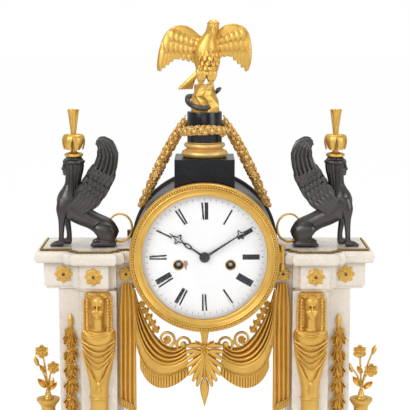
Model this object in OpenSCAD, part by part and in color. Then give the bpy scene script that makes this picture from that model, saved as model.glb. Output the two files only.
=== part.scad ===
// Portico clock in white and black marble with gilt and patinated bronze mounts.
// Millimetres. The front faces -Y, +Z is up, and the origin is on the table under the middle.
// "Front distance" means millimetres towards the viewer from the middle plane of the clock.

/* [Base] */
// Height of the turned feet
foot_h = 14; // [8:0.5:24]
// Largest radius of a foot
foot_r = 11; // [8:0.5:14]
// Height of the lower marble plinth
plinth_h = 28; // [16:0.5:40]
// Height of the upper marble slab
slab_h = 14; // [8:0.5:24]
// Ledge of the plinth round the slab, where the gilt moulding lies
slab_step = 4; // [3:0.25:7]
// Height of the gilt moulding on the ledge
moulding_h = 4; // [2.5:0.25:6]
// Depth of the slab in front of the pilasters
base_front_margin = 17; // [15:0.5:26]
// Width of the slab beyond a vase foot
base_side_margin = 3.5; // [2:0.5:12]

/* [Pilasters] */
// Height of the marble pilasters
pilaster_h = 178; // [168:1:210]
// Gap between the drum and a pilaster
pilaster_gap = 8.6; // [7:0.2:14]
// Width of the narrow return on the inner side
return_w = 5.5; // [3:0.25:8]
// Width of the projecting part that carries the figure
herm_block_w = 34.4; // [34.2:0.2:44]
// Width of the outer wing
wing_w = 22; // [18:0.5:28]
// Front distance of the projecting part
pilaster_front = 34; // [32:0.5:42]
// Set-back of the wing and return
wing_set = 15; // [8:0.5:20]

/* [Entablature] */
// Height of the frieze
frieze_h = 26; // [21:0.5:34]
// Height of the narrow fillet under the frieze
fillet_h = 3; // [2:0.25:5]
// Overhang of the frieze past the pilaster front
frieze_over = 4; // [2:0.25:7]
// Overhang of the frieze past the pilaster end
frieze_end_over = 13.5; // [8:0.5:18]
// Radius of the hollow corners
cove_r = 7; // [4:0.25:9]
// Height of the rounded cornice
cornice_h = 11.5; // [8:0.5:16]
// Overhang of the cornice
cornice_over = 8; // [5:0.25:9]
// Height of the thin slab on the cornice
cap_h = 2; // [1.5:0.25:4]
// Step between the cornice edge and the thin slab
cap_step = 7; // [5:0.25:9]
// Thickness of the bead strip on the cornice
bead_d = 2.6; // [1.6:0.2:3.4]
// Radius of the round mounts on the frieze
rosette_r = 7.8; // [5:0.2:9]

/* [Drum and dial] */
// Outer radius of the drum
drum_r = 70; // [68:0.5:76]
// Wall of the drum
drum_wall = 3; // [2:0.25:4]
// Depth of the drum behind the middle plane
drum_back = 40; // [40:0.5:46]
// Depth of the dial centre below the top of the cornice slab
dial_drop = 5.5; // [3:0.5:8]
// Width of the front bezel
bezel_w = 12; // [11:0.25:14]
// Height of the front bezel
bezel_h = 10.3; // [9:0.1:12]
// Length of the minute hand
minute_l = 51; // [44:0.5:54]
// Length of the hour hand
hour_l = 39; // [30:0.5:42]
// Radius of the winding holes
winding_hole_r = 4.8; // [4:0.1:5.4]

/* [Superstructure] */
// Width of the square black pedestal
pedestal_w = 57; // [48:0.5:62]
// Height of the pedestal above the drum
pedestal_rise = 21; // [12:0.5:30]
// Diameter of the gilt column base
column_base_d = 44.7; // [40:0.5:47]
// Height of the gilt column base
column_base_h = 14.5; // [11:0.5:18]
// Diameter of the short black column
column_d = 33.3; // [30:0.25:36]
// Height of the short black column
column_h = 29; // [24:0.5:40]
// Height of the rock above the column
rock_h = 26; // [22:0.5:32]
// Height of the eagle above the rock
eagle_h = 61.5; // [50:0.5:75]
// Height of a sphinx from paw to wing tip
sphinx_h = 105; // [95:0.5:112]
// Height of a flower vase
vase_h = 65; // [50:0.5:75]
// Radius of the vase lip
vase_r = 11.3; // [9:0.1:11.5]
// Height of a bouquet above its vase
bouquet_h = 55; // [45:0.5:65]

/* [Movement] */
// Radius of the two plates
plate_r = 46; // [45:0.5:52]
// Thickness of the two plates
plate_t = 2.5; // [2:0.1:3]
// Length of the pendulum from its pivot to the middle of the bob
pendulum_l = 159; // [152:0.5:165]
// Radius of the pendulum bob
bob_r = 13; // [9:0.5:18]
// Radius of the bell
bell_r = 38; // [30:0.5:40]
// Radial running clearance of pivots and arbors
run = 0.05; // [0.02:0.01:0.1]
// Clearance between fitted pieces
fit = 0.15; // [0.1:0.01:0.3]

/* [Hidden] */
$fn = 48;
gilt = "goldenrod";
marble = "ivory";
black = [0.10, 0.10, 0.11];
bronze = [0.22, 0.21, 0.19];
brass = "darkgoldenrod";
steel = "slategray";
soft_gap = 0.3;   // room between curved pieces that only lie against each other

// Heights
base_z = foot_h + plinth_h + slab_h;
frieze_z = base_z + pilaster_h;
cornice_z = frieze_z + frieze_h;
cap_z = cornice_z + cornice_h;
deck_z = cap_z + cap_h;
dial_z = deck_z - dial_drop;
pedestal_z = dial_z + drum_r + pedestal_rise;
column_z = pedestal_z + column_base_h;
rock_z = column_z + column_h;
perch_z = rock_z + rock_h;

// Widths, as distances from the middle
pilaster_x = drum_r + pilaster_gap;
block_x = pilaster_x + return_w;
wing_x = block_x + herm_block_w;
pilaster_end = wing_x + wing_w;
herm_x = block_x + herm_block_w / 2;
pendant_x = wing_x + wing_w / 2;
frieze_end = pilaster_end + frieze_end_over;
vase_foot_r = 9;
vase_x = pilaster_end + 2 + vase_r;
slab_hw = vase_x + vase_foot_r + base_side_margin;
slab_hd = pilaster_front + base_front_margin;
vase_y = -8;

// Depths, as front distances
wing_front = pilaster_front - wing_set;
frieze_front = pilaster_front + frieze_over;
frieze_wing = wing_front + frieze_over;
frieze_back = drum_back - 2;
drum_front = pilaster_front;
seat_front = drum_front + 4.5;
dial_back = drum_front + 2;
dial_front = dial_back + 2.2;
dial_dome = 1.8;
bezel_back = seat_front + 0.2;
bezel_front = bezel_back + bezel_h;
glass_back = bezel_back + 4.3;
glass_t = 1.5;
glass_dome = 5.5;
seat_r = drum_r + 0.5;
bezel_r = seat_r + 0.5;
opening_r = bezel_r - bezel_w;
dial_r = opening_r + 1.9;
glass_r = opening_r + 3;
sphinx_y = -8;
sphinx_x = wing_x - 2.8;

// Plans

function lerp(a, b, t) = a + (b - a) * t;
function bez(a, b, c, t) = lerp(lerp(a, b, t), lerp(b, c, t), t);
function unit(v) = v / norm(v);
function polar(r, a) = [r * cos(a), r * sin(a)];

// Outline of the right frieze and cornice, grown outwards by o; the inner end stays at x_in
function entablature_plan(x_in, o) =
    let (
        xa = block_x - o,
        xb = wing_x + cove_r + o,
        front = -frieze_front - o,
        wing = -frieze_wing - o,
        back = frieze_back + min(o, drum_back - soft_gap - frieze_back),
        steps = 4
    )
    concat(
        [[x_in, back], [x_in, wing], [xa, wing]],
        [for (i = [0 : steps]) [xa, front] + polar(cove_r, 90 - 90 * i / steps)],
        [for (i = [0 : steps]) [xb, front] + polar(cove_r, 180 - 90 * i / steps)],
        [[xb, wing], [frieze_end + o, wing], [frieze_end + o, back]]
    );

// Triangles that fill a counter-clockwise outline
function turn(a, b, c) = (b[0] - a[0]) * (c[1] - a[1]) - (b[1] - a[1]) * (c[0] - a[0]);
function holds(p, a, b, c) = turn(a, b, p) >= 0 && turn(b, c, p) >= 0 && turn(c, a, p) >= 0;
function ear(p, loop, i) =
    let (n = len(loop), a = loop[(i + n - 1) % n], b = loop[i], c = loop[(i + 1) % n])
    turn(p[a], p[b], p[c]) > 0.0001
    && len([for (k = loop) if (k != a && k != b && k != c && holds(p[k], p[a], p[b], p[c])) k]) == 0;
function first_ear(p, loop, i = 0) =
    i >= len(loop) - 1 || ear(p, loop, i) ? i : first_ear(p, loop, i + 1);
function fill(p, loop) =
    len(loop) == 3 ? [loop] :
    let (n = len(loop), i = first_ear(p, loop))
    concat(
        [[loop[(i + n - 1) % n], loop[i], loop[(i + 1) % n]]],
        fill(p, [for (k = [0 : n - 1]) if (k != i) loop[k]])
    );
function flipped(faces) = [for (f = faces) [f[2], f[1], f[0]]];

// Side triangles of a stack of rings with m points each
function ring_sides(rings, m) = [
    for (k = [0 : rings - 2])
        for (i = [0 : m - 1])
            let (a = k * m + i, b = k * m + (i + 1) % m, c = b + m, d = a + m)
                each [[a, d, c], [a, c, b]]
];

// Slab with a moulded edge: levels are [height, growth], the plan keeps its inner end at x_in
module moulded_slab(x_in, levels) {
    plans = [for (l = levels) entablature_plan(x_in, l[1])];
    m = len(plans[0]);
    n = len(levels);
    points = [for (k = [0 : n - 1]) for (p = plans[k]) [p[0], p[1], levels[k][0]]];
    bottom = fill(plans[0], [for (i = [0 : m - 1]) i]);
    top = fill(plans[n - 1], [for (i = [0 : m - 1]) i]);
    polyhedron(points, concat(
        bottom,
        ring_sides(n, m),
        [for (f = flipped(top)) [for (i = f) i + (n - 1) * m]]
    ));
}

// Swept body: stations are [x, y, z, half width across, half width towards "up"]
module limb(stations, sides = 6, up = [0, 0, 1]) {
    n = len(stations);
    spots = [for (s = stations) [s[0], s[1], s[2]]];
    points = [
        for (k = [0 : n - 1])
            let (
                t = unit(spots[min(k + 1, n - 1)] - spots[max(k - 1, 0)]),
                u = unit(cross(up, t)),
                v = cross(t, u)
            )
            for (i = [0 : sides - 1])
                let (a = 360 * (i + 0.5) / sides)
                    spots[k] + u * stations[k][3] * cos(a) + v * stations[k][4] * sin(a)
    ];
    polyhedron(points, concat(
        [[for (i = [0 : sides - 1]) i]],
        ring_sides(n, sides),
        [[for (i = [sides - 1 : -1 : 0]) (n - 1) * sides + i]]
    ));
}

// Raised body with a flat back on y = 0: stations are [x, z, half width, depth]
module relief(stations, sides = 8) {
    n = len(stations);
    m = sides + 1;
    points = [
        for (s = stations)
            for (i = [0 : sides])
                [s[0] - s[2] * cos(180 * i / sides), -s[3] * sin(180 * i / sides), s[1]]
    ];
    polyhedron(points, concat(
        [[for (i = [0 : m - 1]) i]],
        ring_sides(n, m),
        [[for (i = [m - 1 : -1 : 0]) (n - 1) * m + i]]
    ));
}

// Flat leaf or feather that bends through a middle point, all three points as [x, y, z]
module blade(a, b, c, width, thick, up = [0, 1, 0], steps = 3) {
    limb([
        for (i = [0 : steps])
            let (t = i / steps, s = 0.35 + 0.65 * sin(35 + 130 * t))
                concat(bez(a, b, c, t), [width * s, thick * (1 - 0.5 * t)])
    ], 4, up);
}

// Sheet of overlapping feathers in the x-z plane, ridged towards -y. The root, bend and tip lines each hold
// three [x, z] points; seen from -y the feathers run on from a row that is listed clockwise.
module feather_sheet(root, bend, tip, feathers, y_root, y_tip, thick) {
    across = 2 * feathers;
    shares = [0, 0.35, 0.7, 1];
    m = 2 * across + 2;
    rings = [
        for (t = shares)
            let (spots = [for (j = [0 : across])
                let (f = j / across, reach = t * (j % 2 == 1 ? 1 : 0.88))
                    bez(bez(root[0], root[1], root[2], f), bez(bend[0], bend[1], bend[2], f),
                        bez(tip[0], tip[1], tip[2], f), reach)],
                y = -lerp(y_root, y_tip, t))
            concat(
                [for (j = [0 : across]) [spots[j][0], y - thick * (j % 2 == 1 ? 1 : 0.5), spots[j][1]]],
                [for (j = [across : -1 : 0]) [spots[j][0], y, spots[j][1]]]
            )
    ];
    end = [for (j = [0 : across - 1]) each [[j, j + 1, m - 2 - j], [j, m - 2 - j, m - 1 - j]]];
    polyhedron([for (ring = rings) each ring], concat(
        end,
        ring_sides(len(shares), m),
        [for (f = flipped(end)) [for (i = f) i + (len(shares) - 1) * m]]
    ));
}

// Short rounded drop between two points
module drop(a, b, ra, rb, fn = 4) {
    hull() {
        translate(a) sphere(ra, $fn = fn);
        translate(b) sphere(rb, $fn = fn);
    }
}

// Square strand of a fringe that hangs from a point
module strand(a, fall, r) {
    translate(a - [0, 0, fall]) rotate(45) cylinder(h = fall, r1 = r, r2 = r * 1.35, $fn = 4);
}

// Places a drawing on a plane across the clock: x stays, y becomes height, and z comes forwards
module facing(front, c = [0, 0]) {
    translate([c[0], -front, dial_z + c[1]]) rotate([90, 0, 0]) children();
}

// Solid of revolution about an axis from back to front: points are [radius, front distance]
module turned(points, c = [0, 0]) {
    facing(0, c) rotate_extrude() polygon(points);
}

module rod(r, from, to, c = [0, 0]) {
    facing(from, c) cylinder(h = to - from, r = r);
}

module both_sides() {
    children();
    mirror([1, 0, 0]) children();
}

module both_flanks() {
    children();
    mirror([0, 1, 0]) children();
}

// Flower outline with round lobes
module lobed(r, lobes, depth, steps = 6) {
    n = lobes * steps;
    polygon([for (i = [0 : n - 1]) polar(r * (1 - depth * (0.5 - 0.5 * cos(360 * i / steps))), 360 * i / n)]);
}

// Pointed leaf along the x axis of a drawing
function leaf_edge(length, half_w, f) = [length * f, half_w * sin(180 * f * (1.3 - 0.3 * f))];
module leaf(length, half_w, steps = 5) {
    polygon(concat(
        [for (i = [0 : steps]) leaf_edge(length, half_w, i / steps)],
        [for (i = [steps - 1 : -1 : 1]) leaf_edge(length, -half_w, i / steps)]
    ));
}

// Base

foot_x = slab_hw - 22;
foot_y = slab_hd - 14;

module base_feet() {
    color(gilt)
        for (x = [-foot_x, foot_x], y = [-foot_y, foot_y])
            translate([x, y, 0]) rotate_extrude()
                polygon([
                    [0, 0], [foot_r * 0.45, 0], [foot_r * 0.55, foot_h * 0.14], [foot_r * 0.92, foot_h * 0.4],
                    [foot_r, foot_h * 0.55], [foot_r * 0.92, foot_h * 0.7], [foot_r * 0.68, foot_h * 0.78],
                    [foot_r * 0.68, foot_h * 0.84], [foot_r * 0.95, foot_h * 0.9], [foot_r * 0.95, foot_h],
                    [0, foot_h]
                ]);
}

// Rectangular block with the top edge taken off
module eased_block(hw, hd, h, ease) {
    difference() {
        translate([-hw, -hd, 0]) cube([2 * hw, 2 * hd, h]);
        for (s = [-1, 1]) {
            translate([0, s * hd, h]) rotate([45, 0, 0]) cube([3 * hw, ease, ease], center = true);
            translate([s * hw, 0, h]) rotate([0, 45, 0]) cube([ease, 3 * hd, ease], center = true);
        }
    }
}

module base_plinth() {
    color(marble)
        translate([0, 0, foot_h]) eased_block(slab_hw + slab_step, slab_hd + slab_step, plinth_h, 0.8);
}

module base_top() {
    color(marble)
        translate([0, 0, foot_h + plinth_h]) eased_block(slab_hw, slab_hd, slab_h, 3);
}

module base_mounts() {
    strip = slab_step - 1;
    color(gilt)
        translate([0, 0, foot_h + plinth_h]) difference() {
            eased_block(slab_hw + strip, slab_hd + strip, moulding_h, 2.4);
            translate([-slab_hw, -slab_hd, -1]) cube([2 * slab_hw, 2 * slab_hd, moulding_h + 2]);
        }
}

// Pilasters and entablature

module pilaster() {
    color(marble)
        translate([0, 0, base_z]) linear_extrude(pilaster_h) polygon([
            [pilaster_x, pilaster_front], [pilaster_x, -wing_front], [block_x, -wing_front],
            [block_x, -pilaster_front], [wing_x, -pilaster_front], [wing_x, -wing_front],
            [pilaster_end, -wing_front], [pilaster_end, pilaster_front]
        ]);
}

module pilaster_right() { pilaster(); }
module pilaster_left() { mirror([1, 0, 0]) pilaster(); }

module entablature() {
    inner = drum_r * 0.6;
    color(marble) difference() {
        union() {
            translate([0, 0, frieze_z]) linear_extrude(fillet_h) polygon(entablature_plan(inner, -2));
            translate([0, 0, frieze_z + fillet_h]) linear_extrude(frieze_h - fillet_h)
                polygon(entablature_plan(inner, 0));
        }
        rod(drum_r + fit, -frieze_back - 30, frieze_front + 30);
    }
}

module entablature_right() { entablature(); }
module entablature_left() { mirror([1, 0, 0]) entablature(); }

// Bullnose cornice with the thin slab on it
module cornice() {
    half = cornice_h / 2;
    round_levels = [for (i = [0 : 4]) let (a = -72 + 36 * i)
        [cornice_z + half + half * sin(a), cornice_over - 0.55 * half * (1 - cos(a))]];
    color(marble) moulded_slab(drum_r + fit, concat(
        [[cornice_z, cornice_over - 4]],
        round_levels,
        [[cap_z, cornice_over - 3], [cap_z + 0.01, cornice_over - cap_step],
            [deck_z, cornice_over - cap_step]]
    ));
}

module cornice_right() { cornice(); }
module cornice_left() { mirror([1, 0, 0]) cornice(); }

// Gilt bead strip that lies on the cornice against the thin slab
module bead_strip() {
    inner = drum_r + fit;
    edge = cornice_over - cap_step;
    translate([0, 0, cap_z + 0.05]) linear_extrude(bead_d) difference() {
        polygon(entablature_plan(inner, edge + 0.1 + bead_d));
        polygon(entablature_plan(inner, edge + 0.1));
        translate([0, frieze_back - 0.5]) square([frieze_end * 2, 20]);
        square([0.2 + inner * 2, 40], center = true);
    }
}

module bead_strings() {
    color(gilt) both_sides() bead_strip();
}

// Petalled round mount
module rosette(front, c, r) {
    facing(front, c) {
        linear_extrude(1.6) lobed(r, 8, 0.2);
        translate([0, 0, 1.6]) linear_extrude(1.3) rotate(22.5) lobed(r * 0.68, 8, 0.24);
        translate([0, 0, 2.9]) cylinder(h = 1, r = r * 0.28);
    }
}

rosette_z = frieze_z + fillet_h + (frieze_h - fillet_h) / 2 - dial_z;
block_rosette_x = herm_x + 4;
wing_rosette_x = pendant_x + 5.7;
swag_rosette_x = block_x - rosette_r * 0.85 - 0.4;

module frieze_rosettes() {
    color(gilt) both_sides() {
        rosette(frieze_front, [block_rosette_x, rosette_z], rosette_r);
        rosette(frieze_wing, [wing_rosette_x, rosette_z], rosette_r);
        rosette(frieze_wing, [swag_rosette_x, rosette_z], rosette_r * 0.85);
    }
}

// Gilt figures on the pilasters

// Herm seen from the front, hung from its top centre on the face of the pilaster
module herm_figure() {
    foot = -pilaster_h;
    relief([
        [0, foot, 11, 9], [0, foot + 9, 11, 9], [0, foot + 10, 7.6, 7.5],
        [0, -112, 8.6, 8.5], [0, -92, 9.2, 9], [0, -76, 12.4, 10.5], [0, -60, 15, 12],
        [0, -50, 16.2, 14], [0, -43, 16.8, 15], [0, -38, 15.4, 13.5], [0, -34, 9, 10], [0, -24, 5, 9]
    ], 8);
    relief([
        [0, -39, 13, 7], [0, -30, 13.6, 8], [0, -18, 13.4, 9], [0, -8, 12, 10.5], [0, -2.5, 10.5, 10.5],
        [0, -0.4, 8, 8]
    ], 8);
    limb([
        [0, -9, -23.5, 2.4, 2.4], [0, -9.5, -20.5, 4.8, 4.6], [0, -9.5, -13, 6.4, 6.6],
        [0, -9, -6.5, 6, 6], [0, -8.5, -2.5, 4, 4]
    ], 8, [0, 1, 0]);
    limb([[0, -15.5, -9.5, 0.8, 0.7], [0, -17, -14, 1.3, 1.4], [0, -15.5, -15.5, 1, 0.6]], 4, [0, 1, 0]);
    lappet_beads = 4;
    for (s = [-1, 1]) {
        for (k = [0 : lappet_beads - 1])
            drop([s * (13 - 0.2 * k), -5.5, -8 - 7.6 * k], [s * (12.6 - 0.2 * k), -6, -12.6 - 7.6 * k],
                2.6, 2.4);
        blade([s * 12, -10, -48], [s * 8, -9.6, -70], [s * 1.5, -9.6, -88], 2.2, 1.4, [0, 1, 0], 3);
    }
    drop([0, -9.5, -88], [0, -10, -95], 2.4, 3);
}

module herm_at() {
    color(gilt) translate([herm_x, -pilaster_front, frieze_z]) herm_figure();
}

module herm_right() { herm_at(); }
module herm_left() { mirror([1, 0, 0]) herm_at(); }

// Hanging husks and leaves on the outer wings
module pendant() {
    stages = 7;
    pitch = 15.5;
    facing(wing_front, [pendant_x, frieze_z - 14 - dial_z])
        for (tier = [[1.6, 1], [2.8, 0.6]])
            linear_extrude(tier[0]) {
                translate([-0.9, -stages * pitch]) square([1.8, stages * pitch + 3]);
                for (k = [0 : stages - 1]) {
                    l = 14 - 0.5 * k;
                    translate([0, -pitch * k]) {
                        for (s = [-1, 1])
                            rotate(s * 32 - 90) leaf(l * lerp(0.75, 1, tier[1]), 3.4 * tier[1]);
                        rotate(-90) leaf(l + 2, 2.2 * tier[1]);
                    }
                }
            }
}

module pilaster_pendants() {
    color(gilt) both_sides() pendant();
}

// Flower vases and bouquets

vase_bore_r = vase_r * 0.5;

module vase() {
    h = vase_h;
    translate([vase_x, vase_y, base_z]) rotate_extrude() polygon([
        [0, 0], [vase_foot_r, 0], [vase_foot_r, h * 0.06], [vase_foot_r * 0.78, h * 0.09],
        [vase_foot_r * 0.35, h * 0.2], [vase_foot_r * 0.3, h * 0.3], [vase_foot_r * 0.5, h * 0.33],
        [vase_foot_r * 0.34, h * 0.36], [vase_r * 0.62, h * 0.43], [vase_r * 0.86, h * 0.55],
        [vase_r * 0.9, h * 0.66], [vase_r * 0.62, h * 0.8], [vase_r * 0.6, h * 0.87],
        [vase_r * 0.94, h * 0.95], [vase_r, h * 0.98], [vase_r, h], [vase_bore_r, h],
        [vase_bore_r, h * 0.85], [0, h * 0.85]
    ]);
}

module vases() {
    color(gilt) both_sides() vase();
}

// Flower head that faces the viewer
module bloom(at, r, petals = 5) {
    for (i = [0 : petals - 1])
        let (d = polar(r * 0.62, 360 * i / petals))
            drop(at + [d[0] * 0.5, 0, d[1] * 0.5], at + [d[0], -r * 0.15, d[1]], r * 0.22, r * 0.42);
    drop(at, at + [0, -r * 0.4, 0], r * 0.34, r * 0.28);
}

// Stems that fan out of the vase; each stem is [bend across, height share, head radius]
module bouquet(stems) {
    plug = [vase_x, vase_y, base_z + vase_h * 0.85];
    translate(plug) {
        limb([[0, 0, 0, vase_bore_r - fit, vase_bore_r - fit],
            [0, 0, vase_h * 0.15, vase_bore_r - fit, vase_bore_r - fit],
            [0, 0, vase_h * 0.15 + 7, 1.6, 1.6]], 6, [0, 1, 0]);
        for (s = stems) {
            top = [s[0], -3, vase_h * 0.15 + bouquet_h * s[1] - s[2]];
            limb([for (i = [0 : 3])
                concat(bez([0, 0, vase_h * 0.15 + 2], [0, -1, vase_h * 0.15 + bouquet_h * 0.4], top, i / 3),
                    [0.9, 0.9])], 4, [0, 1, 0]);
            if (s[2] > 4) bloom(top, s[2]);
            else drop(top - [0, 0, 2], top + [s[0] * 0.2, 0, 4], 1.6, s[2] * 0.6);
        }
    }
}

module bouquet_right() {
    color(gilt) bouquet([[-2.5, 1, 7], [9, 0.66, 7], [-10, 0.62, 3], [11, 0.95, 3]]);
}

module bouquet_left() {
    color(gilt) mirror([1, 0, 0]) bouquet([[5, 1, 7], [-6, 0.7, 6.4], [10, 0.74, 3], [-4, 0.36, 3]]);
}

// Drapery under the drum, drawn from the dial centre, x outwards and z upwards

drapery_front = frieze_wing;
swag_depth = 3.6;
tail_x = swag_rosette_x - 3;
tail_top = rosette_z - rosette_r - 1;

// Ends and lowest point of the upper and lower edges of the cloth: shares of the way out to the tail, and
// depths below the drum
upper_edge = [[tail_x - 9, tail_top - 12], hung(0.675, 39.5), hung(0.27, 24.5)];
lower_edge = [[tail_x - 5, tail_top - 24], hung(0.9, 92), hung(0.257, 42)];
function hung(share, depth) = [tail_x * share, -seat_r - depth];

// Point of the cloth: f from the tail to the palmette, v from its upper edge down to its hem
function cloth(f, v) = bez(lerp(upper_edge[0], lower_edge[0], v), lerp(upper_edge[1], lower_edge[1], v),
    lerp(upper_edge[2], lower_edge[2], v), f);

module swag_folds() {
    folds = 5;
    across = 4 * folds;
    steps = 6;
    back = -drapery_front - 0.3;
    m = across + 3;
    function swell(j) = 0.28 + 0.72 * abs(sin(180 * j / 4));
    rings = [
        for (i = [0 : steps])
            let (f = i / steps, deep = swag_depth * (1.6 + 0.5 * sin(180 * f)))
                concat(
                    [for (j = [across : -1 : 0])
                        let (p = cloth(f, j / across)) [p[0], back - deep * swell(j), p[1]]],
                    [for (v = [0, 1]) let (p = cloth(f, v)) [p[0], back, p[1]]]
                )
    ];
    end_plan = concat([for (j = [0 : across]) [j, swell(j)]], [[across, 0], [0, 0]]);
    end = flipped(fill([for (q = end_plan) [q[0], -q[1]]], [for (i = [0 : m - 1]) i]));
    polyhedron([for (ring = rings) each ring], concat(
        flipped(end),
        ring_sides(steps + 1, m),
        [for (t = end) [for (i = t) i + steps * m]]
    ));
    strands = 6;
    y = back - swag_depth * 0.7;
    for (i = [0 : strands])
        let (p = cloth(0.36 + 0.62 * i / strands, 0.97), fall = 11 - 4 * abs(i / strands - 0.45))
            strand([p[0], y, p[1]], fall, 2.2);
}

module tail_folds() {
    pleats = 3;
    tail_end = -seat_r - 79.5;
    y = -drapery_front - 3;
    for (k = [0 : pleats - 1]) {
        x = tail_x - 5 + 5 * k;
        end = tail_end + 8 * (pleats - 1 - k) / (pleats - 1);
        limb([[lerp(x, tail_x, 0.5), y, tail_top, 2.2, 2.4], [x, y, tail_top - 30, 3.2, 2.8],
            [x, y, end, 3.4, 2.8]], 6, [0, 1, 0]);
        for (i = [-1, 1])
            strand([x + 1.5 * i, y, end + 1], 9, 1.2);
    }
}

// Leaf scroll that rolls up round a point
module scroll(at, r, thick) {
    steps = 8;
    limb([for (i = [0 : steps])
        let (f = i / steps, p = at + polar(r * (1 - 0.75 * f), 265 - 535 * f))
            [p[0], -drapery_front - 2.6, p[1], thick * (1 - 0.4 * f), 1.9]], 5, [0, 1, 0]);
}

module drapery() {
    y = -drapery_front;
    chain_leaves = 6;
    scroll_r = 9.5;
    small_scroll_r = 5.5;
    scroll_at = cloth(0.65, 0.03) + [0, scroll_r];
    chain_foot = scroll_at + [9, 6.5];
    chain_head = [tail_x * 0.81, tail_top - 21.7];
    color(gilt) translate([0, 0, dial_z]) {
        swag_folds();
        tail_folds();
        scroll(scroll_at, scroll_r, 1.9);
        scroll(cloth(0.92, 0.05) + [0, small_scroll_r], small_scroll_r, 1.5);
        limb([for (p = [chain_foot + [-2, -8], chain_foot + [2, 6], chain_head + [2, 4]])
            [p[0], y - 2.4, p[1], 1.3, 1.5]], 4, [0, 1, 0]);
        for (i = [0 : chain_leaves - 1])
            let (p = lerp(chain_foot, chain_head, i / (chain_leaves - 1)), s = i % 2 == 0 ? 1 : -1)
                drop([p[0], y - 2.4, p[1]], [p[0] - 2.6 * s, y - 3, p[1] + 3], 1.5, 2.1);
    }
}

module drapery_right() { drapery(); }
module drapery_left() { mirror([1, 0, 0]) drapery(); }

// Palmette that gathers the two swags under the drum
module palmette() {
    y = -drum_front + 0.5;
    top = -seat_r - soft_gap;
    root = top - 26;
    leaves = 9;
    bud = root - 28;
    color(gilt) translate([0, 0, dial_z]) {
        limb([[0, y, top, 3.6, 2.2], [0, y, top - 8, 3, 2.2], [0, y, root, 2, 2.4],
            [0, y - 1, bud, 1.6, 1.6], [0, y - 1, bud - 8, 3.8, 2.6], [0, y - 1, bud - 18, 2.2, 2],
            [0, y - 1, bud - 23, 0.6, 0.6]], 6, [0, 1, 0]);
        for (i = [0 : leaves - 1]) {
            a = 270 + 150 * (i / (leaves - 1) - 0.5);
            d = polar(18.5 + 12 * pow(sin(a), 2), a);
            hull() {
                translate([d[0] * 0.15, y, root + d[1] * 0.15]) sphere(2.2, $fn = 4);
                translate([d[0] * 0.8, y - 1, root + d[1] * 0.8]) sphere(3.6, $fn = 4);
                translate([d[0], y - 2, root + d[1]]) sphere(2.2, $fn = 4);
            }
        }
    }
}

// Drum, doors, dial and hands

slot_w = 26;
slot_y = [7, 20];

module drum_case() {
    color(bronze) difference() {
        rod(drum_r, -drum_back, drum_front);
        rod(drum_r - drum_wall, -drum_back - 1, drum_front - 4);
        rod(dial_r + 1, drum_front - 5, drum_front + 1);
        translate([-slot_w / 2, slot_y[0], dial_z - drum_r - 1]) cube([slot_w, slot_y[1] - slot_y[0], 20]);
    }
}

hinge_r = 2.5;
pin_r = 1.1;
knuckle_h = 11.6;
lug_h = 6;
hinge_x = bezel_r + hinge_r;
hinge_front = bezel_back + 2.4;

// Upright bar between two distances from the middle, two front distances and two heights
module bar(x, f, z) {
    translate([min(x), -max(f), dial_z + min(z)]) cube([max(x) - min(x), max(f) - min(f), max(z) - min(z)]);
}

// Fixed knuckles and pin of a door hinge on arms from a ring that spans the front distances in "ring"
module hinge_fixed(x, front, ring) {
    side = sign(x);
    near = knuckle_h / 2 + 0.2;
    for (s = [-1, 1]) {
        z = [s * near, s * (near + lug_h)];
        translate([x, -front, dial_z + min(z)]) cylinder(h = lug_h, r = hinge_r);
        bar([x - side * 2.2, x + side * 1.5], [front, ring[1]], z);
        bar([x - side * 6, x + side * 1.5], ring, z);
    }
    translate([x, -front, dial_z]) cylinder(h = knuckle_h + 2 * lug_h, r = pin_r, center = true);
}

// Brass ring on the drum that holds the dial and the fixed half of the hinge
module bezel_seat() {
    color(brass) {
        turned([[dial_r - 4.9, drum_front], [seat_r, drum_front], [seat_r, seat_front],
            [dial_r + 0.1, seat_front], [dial_r + 0.1, dial_back], [dial_r - 4.9, dial_back]]);
        hinge_fixed(hinge_x, hinge_front, [drum_front + 0.5, seat_front - 0.1]);
    }
}

module hinge_moving(x, front, reach) {
    side = sign(x);
    difference() {
        union() {
            translate([x, -front, dial_z]) cylinder(h = knuckle_h, r = hinge_r, center = true);
            translate([x - side * reach / 2, -front, dial_z])
                cube([reach, 2.4, knuckle_h], center = true);
        }
        translate([x, -front, dial_z]) cylinder(h = knuckle_h + 2, r = pin_r + run + 0.01, center = true);
    }
}

// Gilt bezel that opens on its hinge to reach the winding squares
module front_bezel() {
    color(gilt) difference() {
        union() {
            turned([
                [glass_r + 0.2, bezel_back], [bezel_r - 1.2, bezel_back],
                [bezel_r - 0.2, bezel_back + 1.2], [bezel_r - 0.2, bezel_back + 3],
                [bezel_r, bezel_back + 4], [bezel_r - 0.4, bezel_front - 2.2],
                [bezel_r - 2.2, bezel_front - 0.4], [bezel_r - 3.6, bezel_front],
                [bezel_r - 5, bezel_front - 0.5], [bezel_r - 6.2, bezel_front - 1.8],
                [opening_r + 3, bezel_front - 2.6],
                [opening_r + 0.6, bezel_front - 3.2], [opening_r, glass_back + glass_t + 0.8],
                [opening_r, glass_back + glass_t + 0.05], [glass_r + 0.2, glass_back + glass_t + 0.05]
            ]);
            hinge_moving(hinge_x, hinge_front, hinge_r + 2);
        }
        translate([hinge_x, -hinge_front, dial_z])
            cylinder(h = knuckle_h + 2, r = pin_r + run + 0.01, center = true);
    }
}

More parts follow.
